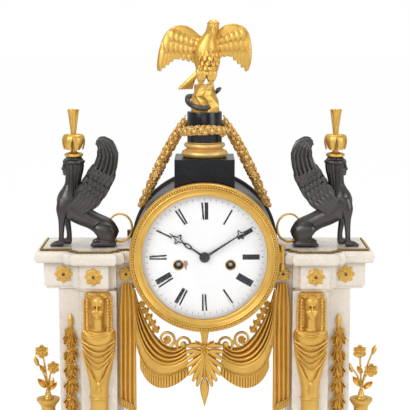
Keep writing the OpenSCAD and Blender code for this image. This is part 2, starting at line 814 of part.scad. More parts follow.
// Domed glass held in the back of the bezel
module front_glass() {
    steps = 6;
    rim = glass_back + glass_t;
    dome_r = opening_r - 1;
    color([0.8, 0.9, 0.95, 0.3]) turned(concat(
        [[glass_r, glass_back], [glass_r, rim]],
        [for (i = [0 : steps])
            [dome_r * cos(90 * i / steps), rim + glass_dome * sin(90 * i / steps)]],
        [for (i = [steps : -1 : 0])
            [(dome_r - 1) * cos(90 * i / steps), glass_back + glass_dome * sin(90 * i / steps)]]
    ));
}

// Movement layout, seen from the front as [x, height] from the dial centre

wheel_add = 0.95;
wheel_ded = 1.25;
great_m = 0.5;
great_teeth = 84;
second_pinion = 12;
second_m = 0.45;
second_teeth = 72;
centre_pinion = 9;
centre_m = 0.4;
centre_teeth = 80;
third_pinion = 8;
third_m = 0.36;
third_teeth = 75;
escape_pinion = 6;
escape_teeth = 36;
escape_r = 8.5;
cannon_teeth = 12;
cannon_m = 0.5;
minute_teeth = 36;
minute_pinion = 10;
hour_teeth = 40;
hour_m = cannon_m * (cannon_teeth + minute_teeth) / (minute_pinion + hour_teeth);

function centres(m, a, b) = m * (a + b) / 2;
second_angle = 46.3;
great_angle = -60;
third_angle = 114.9;
escape_angle = 59.5;
minute_angle = -90;
second_at = polar(centres(second_m, second_teeth, centre_pinion), second_angle);
great_at = second_at + polar(centres(great_m, great_teeth, second_pinion), great_angle);
strike_at = [-great_at[0], great_at[1]];
third_at = polar(centres(centre_m, centre_teeth, third_pinion), third_angle);
escape_at = third_at + polar(centres(third_m, third_teeth, escape_pinion), escape_angle);
pallet_at = [escape_at[0], escape_at[1] + 11.5];
minute_at = polar(centres(cannon_m, cannon_teeth, minute_teeth), minute_angle);

// Turn of wheel b so that its gap meets a tooth of wheel a, which lies at angle t from b's partner
function mesh_turn(t, teeth_a, turn_a, teeth_b) =
    t + 180 - (360 / teeth_b) * (0.5 - (t - turn_a) * teeth_a / 360);
second_pinion_turn = 0;
great_turn = mesh_turn(great_angle, second_pinion, second_pinion_turn, great_teeth);
centre_pinion_turn = 0;
second_turn = mesh_turn(second_angle, centre_pinion, centre_pinion_turn, second_teeth);
centre_turn = 0;
third_pinion_turn = mesh_turn(third_angle, centre_teeth, centre_turn, third_pinion);
third_turn = 0;
escape_turn = mesh_turn(escape_angle, third_teeth, third_turn, escape_pinion);
minute_turn = mesh_turn(minute_angle, cannon_teeth, 0, minute_teeth);
hour_turn = mesh_turn(90, minute_pinion, 0, hour_teeth);

// Front distances of the layers
front_plate_back = 25.5;
back_plate_front = -5;
great_back = 21;
barrel_back = 4;
second_back = 1.3;
centre_back = -1.4;
third_back = -3.8;
escape_back = 8;
motion_back = front_plate_back + plate_t + 1.8;
hour_back = motion_back + 2.5;
wheel_t = 1.2;
arbor_r = 1;
centre_arbor_r = 1.4;
cannon_r = 2.2;
pipe_r = 3.3;
barrel_arbor_r = 2.4;
pallet_arbor_r = 1;
escape_tail_r = 0.7;
plate_front = front_plate_back + plate_t;
plate_back = back_plate_front - plate_t;

// Toothed disc: wheels have wide roots, pinions slim leaves
module toothed(teeth, m, root, tip, turned_by) {
    pitch = 360 / teeth;
    inner = m * teeth / 2 - wheel_ded * m;
    outer = m * teeth / 2 + wheel_add * m;
    polygon([
        for (i = [0 : teeth - 1])
            let (a = turned_by + i * pitch)
                each [polar(inner, a - root * pitch), polar(outer, a - tip * pitch),
                    polar(outer, a + tip * pitch), polar(inner, a + root * pitch)]
    ]);
}

module wheel(at, teeth, m, back, thick, turned_by) {
    facing(back, at) linear_extrude(thick) toothed(teeth, m, 0.30, 0.12, turned_by);
}

module pinion(at, teeth, m, back, thick, turned_by) {
    facing(back, at) linear_extrude(thick) toothed(teeth, m, 0.22, 0.10, turned_by);
}

pillar_spots = [[33, 25], [-33, 25], [22, -36], [-22, -36]];
hammer_at = [34, -24];
bell_at = [-14, 0];
bell_back = -18;
dial_foot_spots = [for (i = [0 : 2]) polar(plate_r - 6, 90 + 120 * i)];

module arbor_bores(from, to, escape_pivot_r) {
    for (at = [second_at, third_at])
        rod(arbor_r + run, from, to, at);
    rod(escape_pivot_r + run, from, to, escape_at);
    for (at = [great_at, strike_at])
        rod(barrel_arbor_r + run, from, to, at);
    rod(centre_arbor_r + run, from, to);
    rod(pallet_arbor_r + run, from, to, pallet_at);
}

module front_plate() {
    color(brass) difference() {
        union() {
            rod(plate_r, front_plate_back, plate_front);
            rod(1, plate_front, motion_back + 3.2, minute_at);
        }
        arbor_bores(front_plate_back - 1, plate_front + 1, arbor_r);
    }
}

module back_plate() {
    color(brass) difference() {
        union() {
            rod(plate_r, plate_back, back_plate_front);
            for (at = pillar_spots)
                rod(3, back_plate_front, front_plate_back, at);
            rod(2.5, bell_back - 1.6, plate_back, bell_at);
        }
        arbor_bores(plate_back - 1, back_plate_front + 1, escape_tail_r);
        rod(1 + run, plate_back - 1, back_plate_front + 1, hammer_at);
    }
}

module barrel(at, turned_by) {
    color(brass) difference() {
        union() {
            wheel(at, great_teeth, great_m, great_back, 2, turned_by);
            rod(great_m * great_teeth / 2 - 2, barrel_back, great_back, at);
        }
        rod(barrel_arbor_r + run, barrel_back - 1, great_back + 3, at);
    }
}

module going_barrel() { barrel(great_at, great_turn); }
module strike_barrel() { barrel(strike_at, 0); }

// Winding arbor with a square end behind the dial
module winding_arbor(at) {
    square_w = 3.2;
    color(steel) {
        rod(barrel_arbor_r, plate_back, plate_front + 0.5, at);
        facing(plate_front + 0.5, at) translate([-square_w / 2, -square_w / 2, 0])
            cube([square_w, square_w, dial_back - plate_front - 0.7]);
    }
}

module going_arbor() { winding_arbor(great_at); }
module strike_arbor() { winding_arbor(strike_at); }

module intermediate_wheel() {
    color(brass) {
        rod(arbor_r, plate_back, plate_front, second_at);
        pinion(second_at, second_pinion, great_m, great_back, 2, second_pinion_turn);
        wheel(second_at, second_teeth, second_m, second_back, wheel_t, second_turn);
    }
}

minute_hand_back = dial_front + dial_dome + 2.6;
hour_hand_back = dial_front + dial_dome + 1;
hand_t = 0.8;

module centre_wheel() {
    color(brass) {
        rod(centre_arbor_r, plate_back, minute_hand_back + hand_t + 2.2);
        rod(cannon_r, plate_front + 0.3, minute_hand_back);
        pinion([0, 0], centre_pinion, second_m, second_back - 0.4, wheel_t + 0.8, centre_pinion_turn);
        wheel([0, 0], centre_teeth, centre_m, centre_back, wheel_t, centre_turn);
        pinion([0, 0], cannon_teeth, cannon_m, motion_back, wheel_t, 0);
    }
}

module third_wheel() {
    color(brass) {
        rod(arbor_r, plate_back, plate_front, third_at);
        pinion(third_at, third_pinion, centre_m, centre_back - 0.2, wheel_t + 0.4, third_pinion_turn);
        wheel(third_at, third_teeth, third_m, third_back, wheel_t, third_turn);
    }
}

module escape_wheel() {
    tooth = 360 / escape_teeth;
    color(brass) {
        rod(escape_tail_r, plate_back, third_back + wheel_t + 0.4, escape_at);
        rod(arbor_r, third_back + wheel_t + 0.4, plate_front, escape_at);
        pinion(escape_at, escape_pinion, third_m, third_back - 0.2, wheel_t + 0.4, escape_turn);
        facing(escape_back, escape_at) linear_extrude(1) polygon([
            for (i = [0 : escape_teeth - 1])
                each [polar(escape_r - 2.2, i * tooth), polar(escape_r, (i + 0.5) * tooth),
                    polar(escape_r - 2.2, (i + 0.6) * tooth)]
        ]);
    }
}

module minute_wheel() {
    color(brass) difference() {
        union() {
            wheel(minute_at, minute_teeth, cannon_m, motion_back, wheel_t, minute_turn);
            pinion(minute_at, minute_pinion, hour_m, motion_back + wheel_t, hour_back - motion_back + 0.2, 0);
        }
        rod(1 + run, plate_front, hour_back + 4, minute_at);
    }
}

module hour_wheel() {
    color(brass) difference() {
        union() {
            wheel([0, 0], hour_teeth, hour_m, hour_back, wheel_t, hour_turn);
            rod(pipe_r, hour_back, hour_hand_back);
        }
        rod(cannon_r + run, hour_back - 1, hour_hand_back + 1);
    }
}

// Recoil pallets on their arbor, with the crutch that drives the pendulum
module pallets() {
    y_crutch = 11;
    crutch_l = 27.5;
    fork_h = 1.5;
    prong_x = 1.6;
    color(steel) {
        rod(pallet_arbor_r, -y_crutch - 0.6, front_plate_back + plate_t, pallet_at);
        rod(2.6, escape_back - 0.5, escape_back + 1.5, pallet_at);
        facing(escape_back, pallet_at) linear_extrude(1)
            polygon([[-2, 1.6], [2, 1.6], [9.4, -3.4], [9.8, -6.6], [8.2, -5.2], [5, -0.8], [-5, -0.8],
                [-8.2, -5.2], [-9.8, -6.6], [-9.4, -3.4]]);
        facing(-y_crutch - 0.6, pallet_at) linear_extrude(1.2)
            polygon([[-1, 1.5], [-1, fork_h - crutch_l], [-2.6, fork_h - crutch_l], [-2.6, -crutch_l],
                [2.6, -crutch_l], [2.6, fork_h - crutch_l], [1, fork_h - crutch_l], [1, 1.5]]);
        for (s = [-1, 1])
            translate([pallet_at[0] + s * (prong_x + 0.4), y_crutch + 2,
                dial_z + pallet_at[1] - crutch_l + fork_h / 2]) cube([0.8, 4.6, 1.1], center = true);
    }
}

pendulum_y = 14;

// Bracket on the back plate from which the pendulum hangs
module suspension_cock() {
    leg = 3;
    reach = pendulum_y + 4;
    color(brass) difference() {
        translate([pallet_at[0] - 9, -plate_back, dial_z + pallet_at[1] - 3])
            cube([18, reach + plate_back, 6]);
        translate([pallet_at[0] - 9 + leg, -plate_back - 1, dial_z + pallet_at[1] - 4])
            cube([18 - 2 * leg, reach + plate_back - 1.5, 8]);
        rod(0.9 + run, -reach - 1, -pendulum_y, pallet_at);
    }
}

module pendulum_rod() {
    color(steel) {
        rod(0.9, -pendulum_y - 4, -pendulum_y + 1, pallet_at);
        translate([pallet_at[0] - 1.3, pendulum_y - 1, dial_z + pallet_at[1] - 8])
            cube([2.6, 2, 9.2]);
        translate([pallet_at[0], pendulum_y, dial_z + pallet_at[1] - pendulum_l - bob_r - 4])
            cylinder(h = pendulum_l + bob_r, r = 1);
    }
}

module pendulum_bob() {
    at = [pallet_at[0], pallet_at[1] - pendulum_l];
    color(brass) difference() {
        turned([[0, -pendulum_y - 4], [bob_r * 0.6, -pendulum_y - 3.4], [bob_r, -pendulum_y - 0.8],
            [bob_r, -pendulum_y + 0.8], [bob_r * 0.6, -pendulum_y + 3.4], [0, -pendulum_y + 4]], at);
        translate([at[0], pendulum_y, dial_z + at[1]]) cylinder(h = 3 * bob_r, r = 1.02, center = true);
    }
}

module bell() {
    wall = 1.6;
    deep = 14;
    color("silver") difference() {
        turned([
            [0, bell_back - deep - wall], [bell_r * 0.55, bell_back - deep - wall],
            [bell_r * 0.9, bell_back - deep * 0.62], [bell_r, bell_back],
            [bell_r - wall, bell_back], [bell_r * 0.9 - wall, bell_back - deep * 0.62 + wall * 0.6],
            [bell_r * 0.55 - wall, bell_back - deep], [0, bell_back - deep]
        ], bell_at);
        rod(1.5 + fit, bell_back - deep - wall - 1, bell_back, bell_at);
    }
}

// Nut and stud that hold the bell on its post
module bell_nut() {
    deep = 14;
    color(brass) {
        rod(1.5, bell_back - deep - 4, bell_back - 1.6, bell_at);
        rod(4, bell_back - deep - 4.6, bell_back - deep - 1.75, bell_at);
        rod(3.4, bell_back - deep + 0.15, bell_back - 1.6, bell_at);
    }
}

module hammer() {
    head_at = bell_at + [bell_r + 4.6, 2];
    reach = norm(head_at - hammer_at);
    lean = atan2(head_at[1] - hammer_at[1], head_at[0] - hammer_at[0]);
    color(steel) {
        rod(1, bell_back - 3.4, back_plate_front, hammer_at);
        rod(2.6, bell_back - 3.4, bell_back - 1, hammer_at);
        facing(bell_back - 3, hammer_at) rotate(lean) translate([0, -1, 0]) cube([reach, 2, 1.6]);
        rod(4, bell_back - 5, bell_back - 0.6, head_at);
    }
}

// Enamel dial with its centre hole, winding holes and three feet
module dial() {
    steps = 5;
    color("white") difference() {
        union() {
            turned(concat([[0, dial_back], [dial_r, dial_back], [dial_r, dial_front - 0.6]],
                [for (i = [0 : steps]) [(dial_r - 0.6) * cos(90 * i / steps),
                    dial_front + dial_dome * sin(90 * i / steps)]]));
            for (at = dial_foot_spots)
                rod(1.1, plate_front, dial_back + 0.1, at);
        }
        rod(pipe_r + 0.5, dial_back - 1, dial_front + 5);
        for (at = [great_at, strike_at])
            rod(winding_hole_r, dial_back - 1, dial_front + 5, at);
    }
}

// Pierced hand pointing up the y axis of the drawing
module pierced_hand(length, loop_at, loop_r, boss_r, bore_r) {
    difference() {
        union() {
            cylinder(h = hand_t, r = boss_r);
            linear_extrude(hand_t)
                polygon([[-1.3, 0], [-0.8, loop_at], [0, length], [0.8, loop_at], [1.3, 0]]);
            translate([0, loop_at, 0]) linear_extrude(hand_t) lobed(loop_r, 4, 0.35);
        }
        translate([0, 0, -1]) cylinder(h = hand_t + 2, r = bore_r);
        for (i = [0 : 3])
            translate([0, loop_at, -1]) rotate(90 * i) translate([loop_r * 0.58, 0, 0])
                cylinder(h = hand_t + 2, r = loop_r * 0.2);
    }
}

hour_angle = 61;
minute_hand_angle = -57;

module hour_hand() {
    color(bronze) facing(hour_hand_back) rotate(hour_angle)
        pierced_hand(hour_l, hour_l * 0.74, 4.4, 5, cannon_r + run);
}

module minute_hand() {
    color(bronze) facing(minute_hand_back + 0.02) rotate(minute_hand_angle)
        pierced_hand(minute_l, minute_l * 0.72, 3.4, 3.8, centre_arbor_r + run);
}

// Rear of the drum

rear_ring_t = 5;
rear_door_t = 2;
rear_door_r = drum_r;
rear_r = drum_r + 3;
rear_hinge_x = -(rear_r + hinge_r);
rear_hinge_front = -(drum_back + rear_ring_t + 1.2);

module rear_bezel() {
    color(bronze) {
        turned([[drum_r - 9, -drum_back - rear_ring_t], [rear_r, -drum_back - rear_ring_t],
            [rear_r, -drum_back - 0.05], [drum_r - 9, -drum_back - 0.05]]);
        hinge_fixed(rear_hinge_x, rear_hinge_front, [-drum_back - 0.6, -drum_back - rear_ring_t + 0.3]);
    }
}

module rear_door() {
    door_back = drum_back + rear_ring_t + 0.2;
    color(brass) {
        difference() {
            union() {
                rod(rear_door_r, -door_back - rear_door_t, -door_back);
                hinge_moving(rear_hinge_x, rear_hinge_front, rear_r + hinge_r - rear_door_r + 2);
            }
            translate([rear_hinge_x, -rear_hinge_front, dial_z])
                cylinder(h = knuckle_h + 2, r = pin_r + run + 0.01, center = true);
        }
        rod(2.6, -door_back - rear_door_t - 1.5, -door_back - rear_door_t, [rear_door_r - 9, 0]);
    }
}

// Pedestal, column and trophy on the drum

module pedestal() {
    h = drum_r + pedestal_rise;
    color(black) difference() {
        translate([-pedestal_w / 2, -pedestal_w / 2, dial_z + drum_r * 0.5])
            cube([pedestal_w, pedestal_w, h - drum_r * 0.5]);
        rod(drum_r + fit, -100, 100);
    }
}

module column_base() {
    r = column_base_d / 2;
    h = column_base_h;
    color(gilt) translate([0, 0, pedestal_z]) rotate_extrude() polygon(concat(
        [[0, 0]],
        [for (i = [0 : 6]) [r - h * 0.24, h * 0.24] + polar(h * 0.24, -90 + 30 * i)],
        [[r - h * 0.3, h * 0.54], [r - h * 0.38, h * 0.62]],
        [for (i = [0 : 6]) [r - h * 0.34, h * 0.8] + polar(h * 0.16, -90 + 30 * i)],
        [[column_d / 2, h * 0.98], [column_d / 2, h], [0, h]]
    ));
}

module column() {
    color(black) translate([0, 0, column_z]) cylinder(h = column_h, d = column_d);
}

garland_r = 4.6;
wreath_z = column_z + column_h * 0.36;
wreath_crown = 4;
wreath_reach = column_d / 2 + garland_r * 0.75;

// Small flower head on a garland, looking along a direction
module garland_flower(at, out, r) {
    drop(at, at + out * r * 0.9, r * 1.1, r * 0.7);
}

// Half wreath round the front of the column
module column_wreath() {
    flowers = 9;
    function wreath_at(f) = let (d = polar(wreath_reach, 180 + 180 * f))
        [d[0], d[1], wreath_z + wreath_crown * (sin(180 * f) - 0.4)];
    color(gilt) difference() {
        union() {
            limb([for (i = [0 : 10]) concat(wreath_at(i / 10), [garland_r * 0.85, garland_r * 0.85])], 6);
            for (i = [0 : flowers - 1])
                let (f = 0.04 + 0.92 * i / (flowers - 1), p = wreath_at(f), d = polar(1, 180 + 180 * f))
                    garland_flower(p + [d[0], d[1], i % 2 == 0 ? 1.6 : -1.6], [d[0], d[1], 0.2],
                        garland_r * 0.62);
        }
        translate([0, 0, wreath_z - 20]) cylinder(h = 40, r = column_d / 2 + soft_gap);
    }
}

wreath_back = garland_r * 0.85;
garland_lower = polar(drum_r + garland_r * 0.9, 35);
garland_bend = [pedestal_w / 2 + 15, drum_r + pedestal_rise + 2];
garland_upper = [column_d / 2 + garland_r * 0.5, wreath_z - dial_z + garland_r * 1.4];
garland_y = -wreath_back - garland_r - soft_gap;

module garland() {
    steps = 8;
    flowers = 8;
    translate([0, -garland_y, dial_z]) {
        limb([for (i = [0 : steps])
            let (p = bez(garland_upper, garland_bend, garland_lower, i / steps))
                [p[0], 0, p[1], garland_r * (0.75 + 0.25 * (i % 2)), garland_r * 0.9]], 6, [0, 1, 0]);
        for (i = [0 : flowers - 1])
            let (p = bez(garland_upper, garland_bend, garland_lower, (i + 0.5) / flowers),
                s = i % 2 == 0 ? 1 : -1)
                garland_flower([p[0] + s * 1.6, -garland_r * 0.5, p[1] + s], [s * 0.5, -1, 0.2 * s],
                    garland_r * 0.66);
    }
}

module garlands() {
    color(gilt) both_sides() difference() {
        garland();
        rod(drum_r + soft_gap, -100, 100);
        translate([-pedestal_w / 2 - soft_gap, -pedestal_w, dial_z])
            cube([pedestal_w + 2 * soft_gap, 2 * pedestal_w, drum_r + pedestal_rise + soft_gap]);
    }
}

// Irregular crag with a level top; the share of each corner's reach follows from two running angles
rock_sides = 9;
rock_levels = 5;
rock_r = column_d / 2 - 2;
function rock_reach(z) = rock_r * (1 - 0.32 * z / rock_h);

module rock() {
    points = [
        for (k = [0 : rock_levels])
            let (z = rock_h * k / rock_levels)
            for (i = [0 : rock_sides - 1])
                let (
                    wild = 0.09 * sin(137 * i + 71 * k) + 0.05 * sin(59 * i - 97 * k),
                    p = polar(rock_reach(z) * (1 + wild), 360 * (i + 0.4 * sin(83 * k)) / rock_sides)
                )
                    [p[0], p[1], z]
    ];
    color(gilt) translate([0, 0, rock_z]) polyhedron(points, concat(
        [[for (i = [0 : rock_sides - 1]) i]],
        ring_sides(rock_levels + 1, rock_sides),
        [[for (i = [rock_sides - 1 : -1 : 0]) rock_levels * rock_sides + i]]
    ));
}

// Snake that winds once round the rock, its head low at the front
module snake() {
    steps = 26;
    body_r = 2.7;
    color(bronze) translate([0, 0, rock_z]) limb([
        for (i = [0 : steps])
            let (
                f = i / steps,
                z = lerp(rock_h - 4, 5, f) + 2 * sin(720 * f),
                reach = rock_reach(z) * 1.07 + body_r * 0.95 + soft_gap
                    + 1.2 * abs(sin(540 * f)) * sin(180 * f),
                p = polar(reach, -35 + 325 * f),
                thick = i == steps ? 0.6 : i > steps - 3 ? body_r * 1.25 : body_r * min(1, 0.35 + 1.6 * f)
            )
                [p[0], p[1], z, thick, thick * 0.9]
    ], 5);
}

// Eagle with raised wings, drawn 61.5 high above its perch

eagle_scale = eagle_h / 61.5;

// Wing from shoulder over the wrist to the tip, with flight feathers; each station is [x, z, half width]
module eagle_wing(stations, feathers, root, spread) {
    limb([for (w = stations) [w[0], 1.5, w[1], w[2], 2.4]], 6, [0, 1, 0]);
    for (k = [0 : feathers - 1])
        let (f = k / (feathers - 1), from = lerp(root[0], root[1], f), to = lerp(spread[0], spread[1], f))
            blade([from[0], -0.6, from[1]],
                [lerp(from[0], to[0], 0.55) + 1.5, -1.4, lerp(from[1], to[1], 0.5)],
                [to[0], -0.2, to[1]], 3.4, 1.5, steps = 2);
}

module eagle_figure() {
    limb([
        [4, 1, 6, 4.6, 5], [3.4, 0.6, 13, 9.6, 8], [2.4, 0, 22, 12.6, 10], [1.6, -0.6, 32, 12, 9.6],
        [3.4, -1.6, 41, 8, 7.4], [6, -3, 48, 5.8, 6], [8, -4.2, 54.5, 5.8, 6.4], [8.4, -4.2, 59, 4.8, 5],
        [8.6, -4, 61.5, 2, 2]
    ], 8, [0, 1, 0]);
    limb([[8.2, -8.4, 54, 2.6, 2.6], [8.2, -12, 50.5, 2, 2.2], [8.4, -12.6, 43.5, 0.7, 0.8]], 6, [1, 0, 0]);
    eagle_wing([[-2, 34, 11], [-12, 38, 11.5], [-21, 46, 10.5], [-30, 44, 8.5], [-37, 33, 7], [-42, 20, 4.4],
        [-44.6, 13, 1.6]], 5, [[-36, 40], [-22, 30]], [[-44, 13], [-27, 25]]);
    eagle_wing([[6, 36, 9], [15, 41, 9.6], [25, 48, 9.5], [34, 47, 8], [38.6, 36, 7], [40.6, 22, 5],
        [41, 13.6, 2]], 5, [[40, 44], [26, 38]], [[42, 14], [33, 22]]);
    tail_feathers = 4;
    for (k = [0 : tail_feathers - 1])
        blade([-1, 6, 16], [-10 - 1.2 * k, 7.4, 8], [-25 + 4 * k, 9 + 0.5 * k, -5.4], 3.4, 1.3,
            steps = 2);
    for (s = [-1, 1]) {
        limb([[s * 5.4 + 2, -2.4, 19, 5, 5], [s * 5 + 2, -4, 10, 3.8, 4], [s * 4.6 + 1, -2.8, 1.6, 1.8, 1.8]],
            6, [0, 1, 0]);
        for (t = [-1, 0, 1])
            drop([s * 4.6 + 1, -2.6, 1.4], [s * 4.6 + 1 + 2.2 * t, -6.8 + abs(t), 1.04], 1.4, 1.2);
        drop([s * 4.6 + 1, -2.4, 1.4], [s * 4.6 + 1, 1.6, 1.04], 1.4, 1.2);
    }
}

module eagle() {
    color(gilt) translate([0, 0, perch_z]) scale(eagle_scale) eagle_figure();
}

// Seated winged sphinx, drawn 105 high and facing +X, with its feet on z = 0

sphinx_scale = sphinx_h / 105;

// Raised wing on the +Y flank: a broad curved blade, long ridges to its tip and short feathers below
module sphinx_wing() {
    limb([
        [3, 8.6, 39, 9, 3], [-6, 9, 50, 12.4, 2.8], [-12.5, 9.6, 62, 13, 2.5], [-17.8, 10.2, 72.2, 12, 2.3],
        [-22.2, 10.8, 83, 10.2, 2.1], [-23, 11, 93.5, 8.4, 2], [-20, 11, 100.6, 5.6, 1.8],
        [-15, 11, 103.4, 2, 1.6]
    ], 6, [0, 1, 0]);
    ridges = 3;
    for (k = [0 : ridges - 1])
        blade([-8 - 7 * k, 12.4, 74 - 3 * k], [-17 - 6.6 * k, 13, 88],
            [-15 - 5 * k, 12.8, 102 - k], 2.4, 1.1, steps = 2);
    quills = 2;
    for (k = [0 : quills - 1])
        drop([-6 * k, 10.4, 51 + 10 * k], [-16 - 7 * k, 10.8, 47 + 12 * k], 2.6, 2.4);
}

module sphinx_figure() {
    stride = 6;
    limb([
        [-26, 0, 10, 6, 7], [-20, 0, 16, 9.6, 10], [-8, 0, 24.5, 9.4, 9], [4, 0, 31, 9.6, 11],
        [13, 0, 38, 10, 13], [17.4, 0, 46, 9.6, 11], [16.4, 0, 54, 7.4, 7.6], [14.6, 0, 60, 4.8, 4.6]
    ], 8);
    limb([
        [10.6, 0, 45.4, 8.4, 5.8], [10.4, 0, 56, 9.4, 6.6], [10, 0, 66, 9.6, 7.6], [9.4, 0, 75, 9.6, 9.4],
        [9.4, 0, 82, 8.8, 9.6], [9.4, 0, 86.6, 6.6, 7.4]
    ], 8, [1, 0, 0]);
    limb([
        [14.6, 0, 68, 2.4, 2.6], [15.4, 0, 71, 4.6, 4.6], [15.4, 0, 77, 5.8, 5.4], [14.8, 0, 82, 5, 5],
        [13.4, 0, 85.4, 3, 3]
    ], 8, [1, 0, 0]);
    limb([[20.2, 0, 79, 0.7, 0.6], [21, 0, 76, 1.2, 0.9], [20.2, 0, 75, 0.9, 0.5]], 4, [1, 0, 0]);
    for (s = [-1, 1]) {
        back = s > 0 ? stride : 0;
        limb([[18, s * 5.6, 44, 4.6, 7], [20.6 - back * 0.5, s * 7, 28, 3.8, 4.4],
            [22 - back, s * 7, 10, 2.8, 2.6], [23 - back, s * 7, 1.2, 3, 3.4]], 6, [1, 0, 0]);
        limb([[-27, s * 8, 12, 3, 6], [-20, s * 9, 14, 4.8, 12], [-13, s * 9.6, 12, 4.6, 8.4],
            [-9, s * 9.8, 6, 3.2, 4]], 6);
        for (t = [-1, 1])
            drop([24 - back, s * 7 + 1.5 * t, 2], [30 - back, s * 7 + 1.8 * t, 1.6], 2.7, 2.4);
        drop([-28, s * 10, 2], [-9, s * 10, 2.6], 3.6, 4);
    }
    both_flanks() sphinx_wing();
}

module sphinx() {
    color(bronze) translate([sphinx_x, sphinx_y, deck_z]) scale(sphinx_scale) intersection() {
        sphinx_figure();
        translate([-60, -40, 0]) cube([120, 80, 140]);
    }
}

module sphinx_right() { sphinx(); }
module sphinx_left() { mirror([1, 0, 0]) sphinx(); }

// Thin curled tails between the sphinxes and the drum
tail_r = 1.3;
tail_loop = [sphinx_x - 29.8 * sphinx_scale - tail_r * 3.4, deck_z + 17.5];
tail_loop_r = [11.5, 13.5];

module sphinx_tail() {
    steps = 16;
    limb(concat(
        [for (p = [[25.2, 8.7], [28, 5.2]])
            [sphinx_x - p[0] * sphinx_scale, sphinx_y, deck_z + p[1] * sphinx_scale, tail_r, tail_r]],
        [for (i = [0 : steps])
            let (f = i / steps, a = -75 - 245 * f)
                [tail_loop[0] + tail_loop_r[0] * cos(a), sphinx_y, tail_loop[1] + tail_loop_r[1] * sin(a),
                    tail_r * (1 - 0.3 * f), tail_r * (1 - 0.3 * f)]]
    ), 6, [0, 1, 0]);
}

// Gilt crowns of drooping leaves and a trumpet, seated on the heads
module sphinx_crown() {
    translate([sphinx_x + 9.5 * sphinx_scale, sphinx_y, deck_z + 86.6 * sphinx_scale]) {
        rotate_extrude() polygon([
            [0, 0], [7.6, 0], [8.9, 1], [8.9, 2.4], [7.6, 3.4], [3.4, 4.4], [2.6, 6], [2.2, 12], [2.4, 20],
            [2.6, 23], [5.6, 45], [0, 45]
        ]);
        leaves = 6;
        difference() {
            rotate_extrude() polygon([
                [1, 15], [6, 15], [8, 12], [8.8, 7], [10.6, 7], [11, 12], [10.2, 17], [7.4, 20], [1, 20.6]
            ]);
            for (i = [0 : leaves - 1])
                rotate(360 * i / leaves) translate([5.4, -0.7, 5]) cube([12, 1.4, 12.6]);
        }
    }
}

module sphinx_ornaments() {
    color(gilt) both_sides() sphinx_tail();
    color(gilt) both_sides() sphinx_crown();
}

base_feet();
base_plinth();
base_top();
base_mounts();
pilaster_left();
pilaster_right();
entablature_left();
entablature_right();
cornice_left();
cornice_right();
bead_strings();
frieze_rosettes();
herm_left();
herm_right();
pilaster_pendants();
vases();
bouquet_left();
bouquet_right();
drapery_left();
drapery_right();
palmette();
drum_case();
bezel_seat();
front_bezel();
front_glass();
dial();
hour_hand();
minute_hand();
front_plate();
back_plate();
going_barrel();
strike_barrel();
going_arbor();
strike_arbor();
intermediate_wheel();
centre_wheel();
third_wheel();
escape_wheel();
minute_wheel();
hour_wheel();
pallets();
suspension_cock();
pendulum_rod();
pendulum_bob();
bell();
bell_nut();
hammer();
rear_bezel();
rear_door();
pedestal();
column_base();
column();
column_wreath();
garlands();
rock();
snake();
eagle();
sphinx_left();
sphinx_right();
sphinx_ornaments();
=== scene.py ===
"""Portico clock: marble portico, gilt bronze mounts, dark bronze sphinxes, enamel dial."""
import bpy
import math
from mathutils import Matrix, Vector


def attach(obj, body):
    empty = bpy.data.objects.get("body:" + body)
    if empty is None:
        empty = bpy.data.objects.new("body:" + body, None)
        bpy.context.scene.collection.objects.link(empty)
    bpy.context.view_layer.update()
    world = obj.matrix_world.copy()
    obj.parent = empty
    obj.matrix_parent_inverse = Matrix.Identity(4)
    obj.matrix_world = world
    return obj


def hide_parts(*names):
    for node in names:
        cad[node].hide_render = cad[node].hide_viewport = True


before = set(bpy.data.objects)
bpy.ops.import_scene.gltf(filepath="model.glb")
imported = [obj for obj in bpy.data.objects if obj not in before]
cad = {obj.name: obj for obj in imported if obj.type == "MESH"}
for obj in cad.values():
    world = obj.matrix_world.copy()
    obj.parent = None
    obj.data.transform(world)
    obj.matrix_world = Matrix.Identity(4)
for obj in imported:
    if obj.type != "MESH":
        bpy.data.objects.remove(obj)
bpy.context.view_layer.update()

# Studio
# White sweep with a darker room behind the camera, large soft boxes on the left and in front and weaker
# ones on the right and above. The camera stands at the height and distance of the photograph.
scene = bpy.context.scene
scene.view_settings.view_transform = "Standard"


def add_node(tree, kind, **settings):
    made = tree.nodes.new("ShaderNode" + kind)
    for key, value in settings.items():
        if key in made.inputs:
            made.inputs[key].default_value = value
        else:
            setattr(made, key, value)
    return made


def math_node(tree, operation, a, b):
    made = add_node(tree, "Math", operation=operation, use_clamp=True)
    for socket, value in zip(made.inputs, (a, b)):
        if isinstance(value, (int, float)):
            socket.default_value = value
        else:
            tree.links.new(value, socket)
    return made.outputs[0]


scene.world = bpy.data.worlds.new("studio_room")
scene.world.use_nodes = True
room = scene.world.node_tree
room.nodes.clear()
looking = add_node(room, "TexCoord").outputs["Generated"]
split = add_node(room, "SeparateXYZ")
room.links.new(looking, split.inputs[0])
towards_sweep = add_node(room, "MapRange", interpolation_type="SMOOTHSTEP")
for label, value in (("From Min", -0.75), ("From Max", 0.5), ("To Min", 0.28), ("To Max", 0.95)):
    towards_sweep.inputs[label].default_value = value
room.links.new(split.outputs["Y"], towards_sweep.inputs["Value"])
room_light = add_node(room, "Background", Strength=0.66)
room.links.new(towards_sweep.outputs[0], room_light.inputs["Color"])
white_sweep = add_node(room, "Background", Strength=1.0)
white_sweep.inputs["Color"].default_value = (1, 1, 1, 1)
ray = add_node(room, "LightPath")
seen = math_node(room, "MAXIMUM", ray.outputs["Is Camera Ray"], ray.outputs["Is Transmission Ray"])
either = add_node(room, "MixShader")
room.links.new(seen, either.inputs[0])
room.links.new(room_light.outputs[0], either.inputs[1])
room.links.new(white_sweep.outputs[0], either.inputs[2])
room.links.new(either.outputs[0], add_node(room, "OutputWorld").inputs["Surface"])

